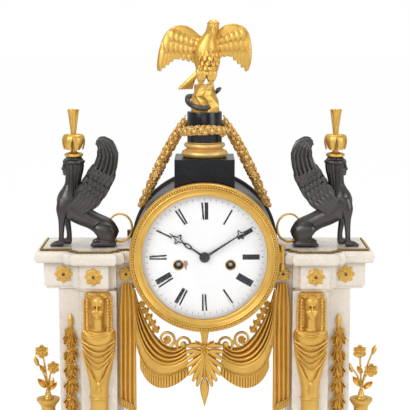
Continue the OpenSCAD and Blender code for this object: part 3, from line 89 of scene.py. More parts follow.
for name, place, aim, size, watts in (
    ("soft_box_left", (-1.0, -1.15, 1.25), (0, 0, 0.28), 0.9, 14.5),
    ("soft_box_right", (1.25, -0.9, 0.75), (0, 0, 0.28), 0.8, 7.5),
    ("soft_box_above", (0.1, 0.25, 1.5), (0, 0, 0.3), 0.9, 7),
    ("soft_box_front", (-0.15, -2.0, 1.1), (0, 0, 0.28), 1.2, 6.5),
):
    bpy.ops.object.light_add(type="AREA", location=place)
    lamp = bpy.context.object
    lamp.name = name
    lamp.data.size = size
    lamp.data.energy = watts
    lamp.rotation_euler = (Vector(aim) - Vector(place)).to_track_quat("-Z", "Y").to_euler()

eye, tilt = (0.0004, -1.255, 0.495), 8.3
sensor, focal_pixels, picture_pixels = 36, 1309, 410
bpy.ops.object.camera_add(location=eye, rotation=(math.radians(90 - tilt), 0, 0))
scene.camera = bpy.context.object
scene.camera.data.sensor_width = sensor
scene.camera.data.lens = sensor * focal_pixels / picture_pixels

bpy.ops.mesh.primitive_plane_add(size=30, location=(0, 0, -0.0002))
floor = bpy.context.object
floor.name = "studio_floor"
paper = bpy.data.materials.new("white_paper")
paper.use_nodes = True
tree = paper.node_tree
tree.nodes["Principled BSDF"].inputs["Base Color"].default_value = (0.88, 0.88, 0.88, 1)
tree.nodes["Principled BSDF"].inputs["Roughness"].default_value = 0.9
glow = add_node(tree, "Emission", Strength=1.06)
lit = add_node(tree, "MixShader")
sight = add_node(tree, "LightPath")
tree.links.new(math_node(tree, "MULTIPLY", sight.outputs["Is Camera Ray"], 0.9), lit.inputs[0])
tree.links.new(tree.nodes["Principled BSDF"].outputs[0], lit.inputs[1])
tree.links.new(glow.outputs[0], lit.inputs[2])
tree.links.new(lit.outputs[0], tree.nodes["Material Output"].inputs["Surface"])
floor.data.materials.append(paper)

# Marble base, pilasters and black column drums
# Sawn and polished slabs with softened arrises. The white stone has grey clouds and warm stains at random, and the
# stain colour is painted into corners and recesses as shade; the black one is close and dark with a few pale
# threads.
# Iron rods hold the slabs together.
mm = 0.001


def new_group(name, inputs, outputs):
    group = bpy.data.node_groups.new(name, "ShaderNodeTree")
    for label, kind, value in inputs:
        group.interface.new_socket(name=label, in_out="INPUT", socket_type=kind).default_value = value
    for label, kind in outputs:
        group.interface.new_socket(name=label, in_out="OUTPUT", socket_type=kind)
    return group, group.nodes.new("NodeGroupInput"), group.nodes.new("NodeGroupOutput")


def ramp(tree, value, low, high):
    made = add_node(tree, "MapRange", interpolation_type="SMOOTHSTEP")
    made.inputs["From Min"].default_value = low
    made.inputs["From Max"].default_value = high
    tree.links.new(value, made.inputs["Value"])
    return made.outputs[0]


def mix_colour(tree, amount, first, second):
    made = add_node(tree, "Mix", data_type="RGBA")
    for socket, value in ((made.inputs[0], amount), (made.inputs[6], first), (made.inputs[7], second)):
        if isinstance(value, (int, float, tuple)):
            socket.default_value = value
        else:
            tree.links.new(value, socket)
    return made.outputs[2]


def noise(tree, vector, scale, detail=4.0, rough=0.55, warp=0.0):
    made = add_node(tree, "TexNoise", Scale=scale, Detail=detail, Roughness=rough, Distortion=warp)
    tree.links.new(vector, made.inputs["Vector"])
    return made.outputs["Fac"]


stone, stone_in, stone_out = new_group(
    "marble_clouds",
    [("Ground", "NodeSocketColor", (0.8, 0.8, 0.8, 1)), ("Cloud", "NodeSocketColor", (0.6, 0.6, 0.6, 1)),
     ("Stain and shade", "NodeSocketColor", (0.5, 0.4, 0.3, 1)), ("Stain and shade amount", "NodeSocketFloat", 0.5)],
    [("Color", "NodeSocketColor"), ("Roughness", "NodeSocketFloat"), ("Height", "NodeSocketFloat")])
spot = add_node(stone, "TexCoord").outputs["Object"]
cloud = ramp(stone, noise(stone, spot, 14, 6, 0.6, 1.2), 0.42, 0.72)
veins = ramp(stone, noise(stone, spot, 34, 3, 0.5, 2.4), 0.545, 0.5)
vein_mask = math_node(stone, "MULTIPLY", veins, ramp(stone, noise(stone, spot, 9), 0.5, 0.66))
tone = mix_colour(stone, math_node(stone, "MULTIPLY", cloud, 0.55), stone_in.outputs["Ground"],
                  stone_in.outputs["Cloud"])
tone = mix_colour(stone, math_node(stone, "MULTIPLY", vein_mask, 0.5), tone, stone_in.outputs["Cloud"])
# Ambient occlusion finds corners and recesses, which are darkened towards the stain colour as painted shade, on top
# of the random stains.
hollow = add_node(stone, "AmbientOcclusion", Distance=9 * mm, samples=4)
shut = ramp(stone, hollow.outputs["AO"], 0.85, 0.35)
stain_and_shade = math_node(stone, "MULTIPLY", math_node(stone, "ADD", shut,
                                              ramp(stone, noise(stone, spot, 26, 5), 0.58, 0.78)),
                 stone_in.outputs["Stain and shade amount"])
tone = mix_colour(stone, stain_and_shade, tone, stone_in.outputs["Stain and shade"])
stone.links.new(tone, stone_out.inputs["Color"])
stone.links.new(ramp(stone, noise(stone, spot, 120, 2), -0.6, 2.6), stone_out.inputs["Roughness"])
stone.links.new(noise(stone, spot, 420, 2), stone_out.inputs["Height"])


def finish(name, group, values, constants, bump=0.0):
    """Principled material fed by a surface group; what is the same all over is set on the shader."""
    made = bpy.data.materials.new(name)
    made.use_nodes = True
    tree = made.node_tree
    shader = tree.nodes["Principled BSDF"]
    surface = add_node(tree, "Group", node_tree=group)
    for key, value in values.items():
        surface.inputs[key].default_value = value
    tree.links.new(surface.outputs["Color"], shader.inputs["Base Color"])
    tree.links.new(surface.outputs["Roughness"], shader.inputs["Roughness"])
    if bump:
        relief = add_node(tree, "Bump", Strength=bump, Distance=0.3 * mm)
        tree.links.new(surface.outputs["Height"], relief.inputs["Height"])
        tree.links.new(relief.outputs[0], shader.inputs["Normal"])
    for key, value in constants.items():
        shader.inputs[key].default_value = value
    return made


white_marble = finish("white_marble", stone, {
    "Ground": (0.83, 0.755, 0.655, 1), "Cloud": (0.67, 0.605, 0.52, 1), "Stain and shade": (0.46, 0.34, 0.21, 1),
    "Stain and shade amount": 0.3}, {"Coat Weight": 0.25, "Coat Roughness": 0.12}, 0.05)
black_marble = finish("black_marble", stone, {
    "Ground": (0.006, 0.007, 0.009, 1), "Cloud": (0.016, 0.018, 0.023, 1), "Stain and shade": (0.05, 0.045, 0.04, 1),
    "Stain and shade amount": 0.1}, {"Specular IOR Level": 0.3, "Coat Weight": 0.2, "Coat Roughness": 0.04}, 0.02)


def dress(name, material, ease=0.0):
    """Gives a carried-over piece its finish, and a softened arris where it is stone."""
    piece = cad[name]
    piece.data.materials.clear()
    piece.data.materials.append(material)
    if ease:
        weld = piece.modifiers.new("closed_mesh", "WELD")
        weld.merge_threshold = 0.01 * mm
        soft = piece.modifiers.new("soft_arris", "BEVEL")
        soft.width = ease * mm
        soft.segments = 2
        soft.limit_method = "ANGLE"
        soft.angle_limit = math.radians(40)


for name in ("base_plinth", "base_top", "pilaster_left", "pilaster_right"):
    dress(name, white_marble, 0.7)
for name in ("pedestal", "column"):
    dress(name, black_marble, 0.35)

# Entablatures and cornices
# Two blocks of white marble with hollow corners, turned out to the drum, each under a bullnose cornice
# slab and a thin deck. The stone is worked in one outline that steps in and out.


def fresh():
    if bpy.context.object and bpy.context.object.mode != "OBJECT":
        bpy.ops.object.mode_set(mode="OBJECT")
    bpy.ops.object.select_all(action="DESELECT")


def pick(*pieces):
    fresh()
    for piece in pieces:
        piece.select_set(True)
    bpy.context.view_layer.objects.active = pieces[0]
    return pieces[0]


def true_faces(piece, merge=0.005):
    """Merges doubles and turns the faces of a finished mesh outwards."""
    pick(piece)
    bpy.ops.object.mode_set(mode="EDIT")
    bpy.ops.mesh.select_all(action="SELECT")
    bpy.ops.mesh.remove_doubles(threshold=merge * mm)
    bpy.ops.mesh.normals_make_consistent(inside=False)
    bpy.ops.object.mode_set(mode="OBJECT")
    return piece


def smooth(piece, angle=35):
    pick(piece)
    bpy.ops.object.shade_smooth_by_angle(angle=math.radians(angle))
    return piece


def settle(piece, name, body, material, slot, *nodes):
    """Names a finished piece and lets it ride on its body in place of the plain solids."""
    piece.name = piece.data.name = name
    piece.data.materials.clear()
    piece.data.materials.append(material)
    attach(piece, body)
    if nodes:
        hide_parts(*nodes)


def mirrored(piece):
    """Copy of a finished piece for the other side of the clock."""
    pick(piece)
    bpy.ops.object.duplicate()
    other = bpy.context.object
    other.data.transform(Matrix.Scale(-1, 4, (1, 0, 0)))
    return true_faces(other)


def ring_solid(loops):
    """Closed solid through a stack of outlines with equal numbers of points, given in millimetres."""
    n = len(loops[0])
    last = (len(loops) - 1) * n
    faces = [list(range(n))[::-1], [last + i for i in range(n)]]
    for k in range(len(loops) - 1):
        faces += [[k * n + i, k * n + (i + 1) % n, (k + 1) * n + (i + 1) % n, (k + 1) * n + i] for i in range(n)]
    fresh()
    mesh = bpy.data.meshes.new("stack")
    mesh.from_pydata([Vector(p) * mm for loop in loops for p in loop], [], faces)
    piece = bpy.data.objects.new("stack", mesh)
    scene.collection.objects.link(piece)
    return true_faces(piece)


drum_seat, drum_z = 70.15, 268


def portico_plan(grow, inner=drum_seat, steps=10):
    """Outline of the right half of the portico, moved out by a distance."""
    block, corner, cove = 84.1 - grow, 118.5 + 7 + grow, 7
    front, wing, end, back = -38 - grow, -23 - grow, 154 + grow, 38 + min(grow, 1.7)
    outline = [(inner, back), (inner, wing), (block, wing)]
    for centre, start in ((block, 90), (corner, 180)):
        for i in range(steps + 1):
            a = math.radians(start - 90 * i / steps)
            outline.append((centre + cove * math.cos(a), front + cove * math.sin(a)))
    return outline + [(corner, wing), (end, wing), (end, back)]


def cut(piece, operation, tool):
    """Boolean of a piece with a tool that is used up."""
    knife = piece.modifiers.new("cut", "BOOLEAN")
    knife.operation = operation
    knife.object = tool
    pick(piece)
    bpy.ops.object.modifier_apply(modifier=knife.name)
    bpy.data.objects.remove(tool)
    return piece


def eased(piece, width, segments=3, angle=40):
    """Rounds the sharp edges of a piece."""
    soft = piece.modifiers.new("arris", "BEVEL")
    soft.width = width * mm
    soft.segments = segments
    soft.limit_method = "ANGLE"
    soft.angle_limit = math.radians(angle)
    pick(piece)
    bpy.ops.object.modifier_apply(modifier=soft.name)
    return piece


frieze_steps = [(234, -2), (237, -2), (237, 0), (260, 0)]
frieze = ring_solid([[(x, y, z) for x, y in portico_plan(grow, 42)] for z, grow in frieze_steps])
fresh()
bpy.ops.mesh.primitive_cylinder_add(vertices=160, radius=drum_seat * mm, depth=0.3, location=(0, 0, drum_z * mm),
                                    rotation=(math.pi / 2, 0, 0))
frieze = smooth(eased(cut(frieze, "DIFFERENCE", bpy.context.object), 0.5, 2))
roll_z, roll_high, roll_out, roll_deep = 265.75, 5.7, 8, 3.1
cornice_profile = [(260.02, 4.0)]
for i in range(13):
    a = math.radians(-90 + 15 * i)
    cornice_profile.append((roll_z + roll_high * math.sin(a), roll_out - roll_deep * (1 - math.cos(a))))
cornice_profile += [(271.5, 3.5), (271.52, 1), (273.1, 1), (273.5, 0.6)]
cornice = smooth(ring_solid([[(x, y, z) for x, y in portico_plan(grow)] for z, grow in cornice_profile]))


def pair(piece, finish_word, name, material, slot, angle=0):
    """Settles a piece on the right of the clock and its mirrored copy on the left."""
    other = mirrored(piece)
    settle(piece, finish_word + name + "_right", "case", material, slot, name + "_right")
    settle(smooth(other, angle) if angle else other, finish_word + name + "_left", "case", material, slot,
           name + "_left")


for piece, name in ((frieze, "entablature"), (cornice, "cornice")):
    pair(piece, "marble_", name, white_marble, "white_marble", 35)

# Gilding
# Cast bronze, chased, fire-gilt and partly burnished: bright yellow on the heights, redder in patches of wear. The
# hollows get a redder, darker colour as painted shade, the deepest a dark colour for dirt and painted shade both,
# and are duller;
# there is a fine grain from the matting tool.
gilding, gild_in, gild_out = new_group(
    "gilding",
    [("Height colour", "NodeSocketColor", (0.9, 0.6, 0.2, 1)),
     ("Hollow colour", "NodeSocketColor", (0.3, 0.15, 0.03, 1)),
     ("Grime and shade colour", "NodeSocketColor", (0.1, 0.05, 0.02, 1)), ("Grime and shade amount", "NodeSocketFloat", 0.5),
     ("Dullness", "NodeSocketFloat", 0.2)],
    [("Color", "NodeSocketColor"), ("Roughness", "NodeSocketFloat"), ("Height", "NodeSocketFloat")])
spot = add_node(gilding, "TexCoord").outputs["Object"]
hollow = add_node(gilding, "AmbientOcclusion", Distance=2.2 * mm, samples=6)
shut = ramp(gilding, hollow.outputs["AO"], 0.95, 0.35)
worn = ramp(gilding, noise(gilding, spot, 70, 4), 0.35, 0.75)
# Recesses found by ambient occlusion take the hollow colour as painted shade, mixed with random wear.
depth = math_node(gilding, "ADD", math_node(gilding, "MULTIPLY", shut, 0.75),
                  math_node(gilding, "MULTIPLY", worn, 0.25))
tone = mix_colour(gilding, depth, gild_in.outputs["Height colour"], gild_in.outputs["Hollow colour"])
# The deepest recesses take a dark colour that stands for dirt and painted shade both.
grime_and_shade = math_node(gilding, "MULTIPLY", ramp(gilding, hollow.outputs["AO"], 0.5, 0.12),
                  gild_in.outputs["Grime and shade amount"])
tone = mix_colour(gilding, grime_and_shade, tone, gild_in.outputs["Grime and shade colour"])
gilding.links.new(tone, gild_out.inputs["Color"])
dull = math_node(gilding, "ADD", math_node(gilding, "MULTIPLY", shut, 0.22),
                 math_node(gilding, "MULTIPLY", noise(gilding, spot, 160, 3), 0.24))
gilding.links.new(math_node(gilding, "ADD", dull, gild_in.outputs["Dullness"]), gild_out.inputs["Roughness"])
gilding.links.new(noise(gilding, spot, 900, 3), gild_out.inputs["Height"])


def metal(name, height, hollow, grime_and_shade, grime_and_shade_amount, metallic, grain, dullness=0.2):
    """Bronze, brass or steel finish from its colours on the heights, in the hollows as painted shade, and in the
    deepest hollows as dirt and painted shade.
    """
    colours = {"Height colour": (*height, 1), "Hollow colour": (*hollow, 1), "Grime and shade colour": (*grime_and_shade, 1)}
    return finish(name, gilding, {**colours, "Grime and shade amount": grime_and_shade_amount, "Dullness": dullness},
                  {"Metallic": metallic}, grain)


gilt = metal("gilt_bronze", (0.79, 0.5, 0.125), (0.56, 0.29, 0.045), (0.26, 0.12, 0.02), 0.6, 0.9, 0.16, 0.33)
pale_gilt = metal("pale_gilt", (0.88, 0.62, 0.24), (0.74, 0.45, 0.12), (0.36, 0.18, 0.04), 0.4, 0.75, 0.1, 0.38)
# Dark copy of the gilt, as painted shade: used for the bead strings on the cornice steps and for the front plate
# behind the winding holes.
shade_dark_gilt = metal("gilt_darkened_for_shade", (0.4, 0.24, 0.06), (0.14, 0.075, 0.02), (0.04, 0.022, 0.008), 0.8, 0.95, 0.08)
brass = metal("clock_brass", (0.68, 0.47, 0.17), (0.40, 0.25, 0.08), (0.08, 0.05, 0.02), 0.6, 1.0, 0.04)
for name in ("base_feet", "base_mounts"):
    dress(name, gilt)
# The front plate shows through the winding holes, and its dark gilt is painted shade in them.
dress("front_plate", shade_dark_gilt)
for name in ("back_plate", "going_barrel", "strike_barrel", "intermediate_wheel", "centre_wheel",
             "third_wheel", "escape_wheel", "minute_wheel", "hour_wheel", "suspension_cock", "pendulum_bob",
             "bell_nut", "rear_door", "bezel_seat"):
    dress(name, brass)

# Bead strings and rosettes
# Strings of gilt beads, in a dark copy of the gilt that is painted shade, lie on the step of each cornice. The
# rosettes on the frieze are cast and gilt flowers with two rows of dished petals, each held by a browned steel pin
# through the marble.


def ball(radius, segments, rings, stretch=(1, 1, 1), place=(0, 0, 0)):
    """Rounded lump in millimetres, stretched and put in its place."""
    fresh()
    bpy.ops.mesh.primitive_uv_sphere_add(segments=segments, ring_count=rings, radius=radius * mm)
    made = bpy.context.object
    made.data.transform(Matrix.Translation(Vector(place) * mm) @ Matrix.Diagonal((*stretch, 1)))
    return made


def strewn(pattern, places):
    """One mesh of copies of a pattern, one for each matrix; the pattern is used up."""
    copies = []
    for place in places:
        other = bpy.data.objects.new("copy", pattern.data.copy())
        other.data.transform(place)
        scene.collection.objects.link(other)
        copies.append(other)
    bpy.data.objects.remove(pattern)
    return joined(copies)


def joined(pieces):
    pick(*pieces)
    if len(pieces) > 1:
        bpy.ops.object.join()
    return bpy.context.object


def at(x, y, z):
    return Matrix.Translation(Vector((x, y, z)) * mm)


def turned(degrees, axis):
    return Matrix.Rotation(math.radians(degrees), 4, axis)


def sheet(place, across, along, thick):
    """Thin shell on the points place(u, v) in millimetres, with u and v from 0 to 1."""
    fresh()
    bpy.ops.mesh.primitive_grid_add(x_subdivisions=across, y_subdivisions=along, size=1)
    made = bpy.context.object
    for corner in made.data.vertices:
        corner.co = Vector(place(corner.co.x + 0.5, corner.co.y + 0.5)) * mm
    if thick:
        skin = made.modifiers.new("skin", "SOLIDIFY")
        skin.thickness = thick * mm
        skin.offset = 0
        skin.use_even_offset = False
        bpy.ops.object.modifier_apply(modifier=skin.name)
        true_faces(made, 0.002)
    return smooth(made, 50)


def petal(start, length, half_width, cup=0.25, curl=0.0, rib=0.08, thick=0.5, blunt=0.8, fine=(8, 12), full=0.75,
          end=0.9):
    """Leaf or petal along +Y that opens towards +Z, with a rib down its middle."""
    def place(u, v):
        side = 2 * u - 1
        swell = half_width * math.sin(math.pi * min(0.999, 0.1 + end * v ** blunt)) ** full
        lift = cup * half_width * side * side + curl * length * v * v
        reach = start + length * v * (1 - 1.2 * (0.9 - end) * side * side)
        return side * swell, reach, lift - rib * half_width * (1 - abs(side)) ** 2
    return sheet(place, *fine, thick)


def flower(petals, radius, second=True, cup=0.3, fine=(8, 12), heart=0.2):
    """Open flower in the X-Y plane that faces +Z."""
    broad = {"fine": fine, "full": 0.45, "end": 0.74}
    row = [turned(360 * i / petals, "Z") for i in range(petals)]
    parts = [strewn(petal(0.18 * radius, 0.82 * radius, 2.3 * radius / petals, cup, **broad), row)]
    if second:
        lifted = at(0, 0, 0.14 * radius) @ turned(180 / petals, "Z")
        inner = petal(0.1 * radius, 0.52 * radius, 1.7 * radius / petals, cup, **broad)
        parts.append(strewn(inner, [lifted @ m for m in row]))
    parts.append(ball(heart * radius, fine[1], fine[0], (1, 1, 0.9), (0, 0, 0.16 * radius)))
    return joined(parts)


def tube(path, radii, sides=4):
    """Round wire along points in millimetres, with a radius for each."""
    line = bpy.data.curves.new("wire", "CURVE")
    line.dimensions = "3D"
    line.bevel_depth = mm
    line.bevel_resolution = sides
    line.use_fill_caps = True
    run = line.splines.new("POLY")
    run.points.add(len(path) - 1)
    for point, place, radius in zip(run.points, path, radii):
        point.co = (*(Vector(place) * mm), 1)
        point.radius = radius
    wire = bpy.data.objects.new("wire", line)
    scene.collection.objects.link(wire)
    pick(wire)
    bpy.ops.object.convert(target="MESH")
    return smooth(true_faces(bpy.context.object, 0.001), 70)


def rod(radius, start, end, sides=32):
    """Round bar between two points in millimetres."""
    start, end = Vector(start), Vector(end)
    fresh()
    bpy.ops.mesh.primitive_cylinder_add(vertices=sides, radius=radius * mm, depth=(end - start).length * mm)
    made = bpy.context.object
    aim = (end - start).to_track_quat("Z", "Y").to_matrix().to_4x4()
    made.data.transform(Matrix.Translation((start + end) / 2 * mm) @ aim)
    return made


bead_r, step_z, step_out, step_inner, string_end = 1.25, 271.55, 2.4, 71.6, (156.4, 37)
bead_z, bead_pitch = step_z + bead_r, 2.06 * bead_r
edge = [Vector(p) for p in portico_plan(step_out, step_inner)[1:-1]] + [Vector(string_end)]
bead_spots, left_over = [], 0.0
for a, b in zip(edge, edge[1:]):
    run = (b - a).length
    while left_over <= run:
        bead_spots.append(a.lerp(b, left_over / run))
        left_over += bead_pitch
    left_over -= run
beads = strewn(ball(bead_r, 10, 6), [at(s * p.x, p.y, bead_z) for p in bead_spots for s in (1, -1)])
core_r = [0.5 * bead_r] * len(bead_spots)
strings = [tube([(s * p.x, p.y, bead_z) for p in bead_spots], core_r, 2) for s in (1, -1)]
beads = joined([beads] + strings)
settle(smooth(beads, 80), "gilt_bead_strings", "case", shade_dark_gilt, "gilt_bronze", "bead_strings")

facing = turned(90, "X")
rosette_spots = [(105.3, -38, 8.6), (135.2, -23, 8.6), (75.4, -23, 7.6)]
rosette_z, stand_off, pin_r = 248.5, 1.0, 1.2
rosettes, pins = [], []
for x, y, radius in rosette_spots:
    for s in (1, -1):
        rosette = flower(8, radius, cup=-0.45)
        back = ball(radius * 0.8, 24, 8, (1, 1, 0.12))
        rosette = joined([rosette, back])
        rosette.data.transform(at(s * x, y - stand_off, rosette_z) @ facing)
        rosettes.append(rosette)
        pin_y = y - stand_off - 0.2 * radius
        pin = rod(pin_r, (s * x, pin_y, rosette_z), (s * x, pin_y - 0.24 * radius, rosette_z), 20)
        pins.append(eased(pin, 0.5))
settle(joined(rosettes), "gilt_rosettes", "case", gilt, "gilt_bronze", "frieze_rosettes")
gunmetal = metal("browned_steel", (0.085, 0.085, 0.09), (0.03, 0.03, 0.034), (0.01, 0.01, 0.011), 0.4, 0.8, 0.03)
settle(smooth(joined(pins), 80), "rosette_pins", "case", gunmetal, "steel")

# Dial, bezel and glass
# Domed white enamel on copper with painted radial numerals, three holes and a chip beside the left winding hole.
# A turned bezel with a milled inner ring holds the domed glass and swings on the hinge at its right.


def lathe(profile, steps):
    """Solid turned about the axis of the dial from points (radius, distance in front of the middle plane)."""
    fresh()
    mesh = bpy.data.meshes.new("turned")
    line = [Vector((r, -f, drum_z)) * mm for r, f in profile]
    mesh.from_pydata(line, [(i, i + 1) for i in range(len(profile) - 1)], [])
    piece = bpy.data.objects.new("turned", mesh)
    scene.collection.objects.link(piece)
    pick(piece)
    bpy.ops.object.mode_set(mode="EDIT")
    bpy.ops.mesh.select_all(action="SELECT")
    bpy.ops.mesh.spin(steps=steps, angle=2 * math.pi, center=(0, 0, drum_z * mm), axis=(0, 1, 0))
    bpy.ops.object.mode_set(mode="OBJECT")
    return true_faces(piece)


def glaze(name, colour, rough, coat, speckle):
    """Fired enamel or paint with a faint cloudiness."""
    made = bpy.data.materials.new(name)
    made.use_nodes = True
    tree = made.node_tree
    shader = tree.nodes["Principled BSDF"]
    cloudy = noise(tree, add_node(tree, "TexCoord").outputs["Object"], 60, 3)
    darker = tuple(c * speckle for c in colour[:3]) + (1,)
    tree.links.new(mix_colour(tree, ramp(tree, cloudy, 0.35, 0.8), colour, darker), shader.inputs["Base Color"])
    for key, value in (("Roughness", rough), ("Coat Weight", coat), ("Coat Roughness", 0.05)):
        shader.inputs[key].default_value = value
    return made


dial_r, dial_back, rim_front = 60.9, 36, 37.6
dome, dome_r, dome_foot = 1.8, 60.3, 38.2
hole_r, hole_at, hole_reach = 4.8, (24.591, -7.608), 25.7


def dial_front(r):
    """Distance of the enamel in front of the middle plane, at a distance from the centre."""
    return dome_foot + dome * math.sqrt(max(0.0, 1 - (r / dome_r) ** 2))


enamel = glaze("white_enamel", (0.93, 0.935, 0.94, 1), 0.3, 0.3, 0.98)
profile = [(0, dial_back), (dial_r, dial_back), (dial_r, rim_front)]
profile += [(r, dial_front(r)) for r in (dome_r * math.cos(math.radians(a)) for a in range(0, 91, 5))]
face = lathe(profile, 128)
for x, z, radius in ((0, 0, 3.9), (hole_at[0], hole_at[1], hole_r), (-hole_at[0], hole_at[1], hole_r)):
    cut(face, "DIFFERENCE", rod(radius, (x, -30, drum_z + z), (x, -45, drum_z + z), 40))
settle(smooth(face, 30), "enamel_dial", "case", enamel, "enamel", "dial")

numeral_in, numeral_out = 35.8, 52.0
bold, hair, paint_t = 1.64, 0.22, 0.05
mark_in, mark_out = 53.7, 55.9


def stroke(x0, x1, width, r0, r1, hour):
    """Painted stroke from x0 at r0 to x1 at r1, turned to its hour and laid on the dome."""
    def place(u, v):
        x, r = x0 + (x1 - x0) * v + width * (u - 0.5), r0 + (r1 - r0) * v
        turn = math.radians(30 * hour)
        px, pz = x * math.cos(turn) + r * math.sin(turn), r * math.cos(turn) - x * math.sin(turn)
        return px, -dial_front(math.hypot(px, pz)) - paint_t, drum_z + pz
    return sheet(place, 2, 8, paint_t)


numeral_shapes = {"I": (1.68, [(0, 0, bold)]), "V": (3.4, [(0.1, -0.95, bold), (0.7, 1.5, hair)]),
                  "X": (3.6, [(0.75, -0.75, bold), (-1.2, 1.4, hair)])}
numerals = ["XII", "I", "II", "III", "IIII", "V", "VI", "VII", "VIII", "IX", "X", "XI"]
paint = []
for hour, numeral in enumerate(numerals):
    x = -sum(numeral_shapes[c][0] for c in numeral) / 2
    for letter in numeral:
        advance, strokes = numeral_shapes[letter]
        x += advance / 2
        paint += [stroke(x + a, x + b, w, numeral_in, numeral_out, hour) for a, b, w in strokes]
        x += advance / 2
marks = [stroke(0, 0, 0.8 if minute % 5 == 0 else 0.5, mark_in, mark_out, minute / 5) for minute in range(60)]
black_paint = glaze("black_paint", (0.012, 0.013, 0.02, 1), 0.35, 0.3, 0.6)
settle(joined(paint), "dial_numerals", "case", black_paint, "enamel")
grey_paint = glaze("grey_paint", (0.34, 0.39, 0.46, 1), 0.35, 0.3, 0.8)
settle(joined(marks), "dial_minute_marks", "case", grey_paint, "enamel")


def chip(u, v):
    """Ragged patch of bare copper to the right of the left winding hole."""
    angle = 2 * math.pi * u
    reach = v * (2.9 + 0.6 * math.sin(3 * angle) + 0.35 * math.cos(5 * angle))
    x, z = -hole_at[0] + 6.8 + 0.64 * reach * math.cos(angle), hole_at[1] + 0.6 + 1.5 * reach * math.sin(angle)
    return x, -dial_front(math.hypot(x, z)) - 0.04, drum_z + z


bare_copper = glaze("bare_copper_chip", (0.6, 0.32, 0.27, 1), 0.6, 0.0, 0.7)
settle(sheet(chip, 28, 5, 0.03), "dial_chip", "case", bare_copper, "enamel")

rim_r, rims = 0.4, []
rim_steps = [math.radians(45 * i) for i in range(9)]
rim_line = [(hole_r + rim_r * math.cos(a), dial_front(hole_reach) + 0.02 + rim_r * math.sin(a)) for a in rim_steps]
for s in (1, -1):
    rim = lathe(rim_line, 48)
    rim.data.transform(at(s * hole_at[0], 0, hole_at[1]))
    rims.append(rim)
settle(smooth(joined(rims), 80), "winding_hole_rims", "case", brass, "brass")

bezel_profile = [(62.2, 38.7), (69.8, 38.7), (70.5, 39.3), (70.8, 40.2), (70.8, 43.4), (70.4, 44), (70.4, 45),
                 (70.9, 45.6), (70.9, 46.6), (70.5, 47.6),
                 (69.7, 48.2), (69.2, 48), (69, 47.6), (66.8, 47.6), (66.6, 48.2), (66, 48.5), (65.2, 48.1),
                 (64.6, 47.2), (63.6, 46.4), (62.4, 46.1),
                 (61.4, 46.2), (61, 46.5), (60.3, 46.5), (59.6, 46.2), (59.1, 45.6), (59, 44.6), (62.2, 44.6),
                 (62.2, 38.7)]
bezel = lathe(bezel_profile, 160)
hinge_x, hinge_y, knuckle_r = 73.5, -41.1, 1.7
knuckle = rod(knuckle_r, (hinge_x, hinge_y, 262.2), (hinge_x, hinge_y, 273.8), 20)
strap_end = ((-42.2, 262.4), (-42.2, 273.6), (-40, 273.6), (-40, 262.4))
strap = ring_solid([[(x, y, z) for y, z in strap_end] for x in (70.4, 73.2)])
mill_r, mill_y, mill_count = 67.9, -47.7, 172
mill_angles = [2 * math.pi * i / mill_count for i in range(mill_count)]
milling = strewn(ball(1.2, 10, 6, (1, 0.9, 1)), [at(mill_r * math.sin(a), mill_y, drum_z + mill_r * math.cos(a))
                                                 for a in mill_angles])
bezel = smooth(joined([bezel, knuckle, strap, milling]), 40)
settle(bezel, "gilt_bezel", "front_door", gilt, "gilt_bronze", "front_bezel")

glass_r, glass_back, glass_front, bulge = 62, 43, 44.5, 5.5


def glass_dome(radius, foot, angles):
    return [(radius * math.cos(math.radians(a)), foot + bulge * math.sin(math.radians(a))) for a in angles]


glass_profile = [(glass_r, glass_back), (glass_r, glass_front)] + glass_dome(58, glass_front, range(0, 91, 5))
glass_profile += glass_dome(57, glass_back, range(90, -1, -5)) + [(glass_r, glass_back)]
pane = smooth(lathe(glass_profile, 128), 40)
clear = bpy.data.materials.new("clear_glass")
clear.use_nodes = True
tree = clear.node_tree
shader = tree.nodes["Principled BSDF"]
for key, value in (("Base Color", (0.985, 0.99, 0.985, 1)), ("Roughness", 0.01), ("IOR", 1.45),
                   ("Transmission Weight", 1.0)):
    shader.inputs[key].default_value = value
passing = add_node(tree, "BsdfTransparent")
either = add_node(tree, "MixShader")
sight = add_node(tree, "LightPath")
indirect = math_node(tree, "MAXIMUM", sight.outputs["Is Shadow Ray"], sight.outputs["Is Diffuse Ray"])
tree.links.new(math_node(tree, "MAXIMUM", indirect, 0.93), either.inputs[0])
tree.links.new(shader.outputs[0], either.inputs[1])
tree.links.new(passing.outputs[0], either.inputs[2])
tree.links.new(either.outputs[0], tree.nodes["Material Output"].inputs["Surface"])
settle(pane, "domed_glass", "front_door", clear, "glass", "front_glass")

# Hands
# Sawn from sheet steel, pierced with an open star and on the hour hand a loop, filed round and browned nearly
# black. The hour hand sits on its pipe, the minute hand on the centre arbor under a small domed cap.
hand_t = 0.8


def hoop(y, half_wide, half_long, wire):
    """Long loop in the plane of the hand, as thick as the sheet."""
    fresh()
    bpy.ops.mesh.primitive_torus_add(major_radius=mm, minor_radius=wire / half_wide * mm, major_segments=40,
                                     minor_segments=10)
    ring = bpy.context.object
    stretch = (half_wide, half_long, hand_t / 2 * half_wide / wire, 1)
    ring.data.transform(at(0, y, hand_t / 2) @ Matrix.Diagonal(stretch))
    return ring


def bar(y0, y1, w0, w1):
    """Tapering bar with filed edges along the hand."""
    return ring_solid([[(-w, y, 0), (w, y, 0), (w * 0.8, y, hand_t), (-w * 0.8, y, hand_t)]
                       for y, w in ((y0, w0), (y1, w1))])


def star(y, radius):
    """Open four-pointed star of wire with a knob on each side."""
    path = []
    for i in range(49):
        a = 2 * math.pi * i / 48
        reach = radius * (0.7 + 0.3 * math.cos(4 * a))
        path.append((reach * math.cos(a), y + reach * math.sin(a), hand_t / 2))
    knobs = [ball(0.85, 10, 8, (1, 1, 0.5), (s * radius, y, hand_t / 2)) for s in (1, -1)]
    return joined([tube(path, [0.52] * 49, 3)] + knobs)


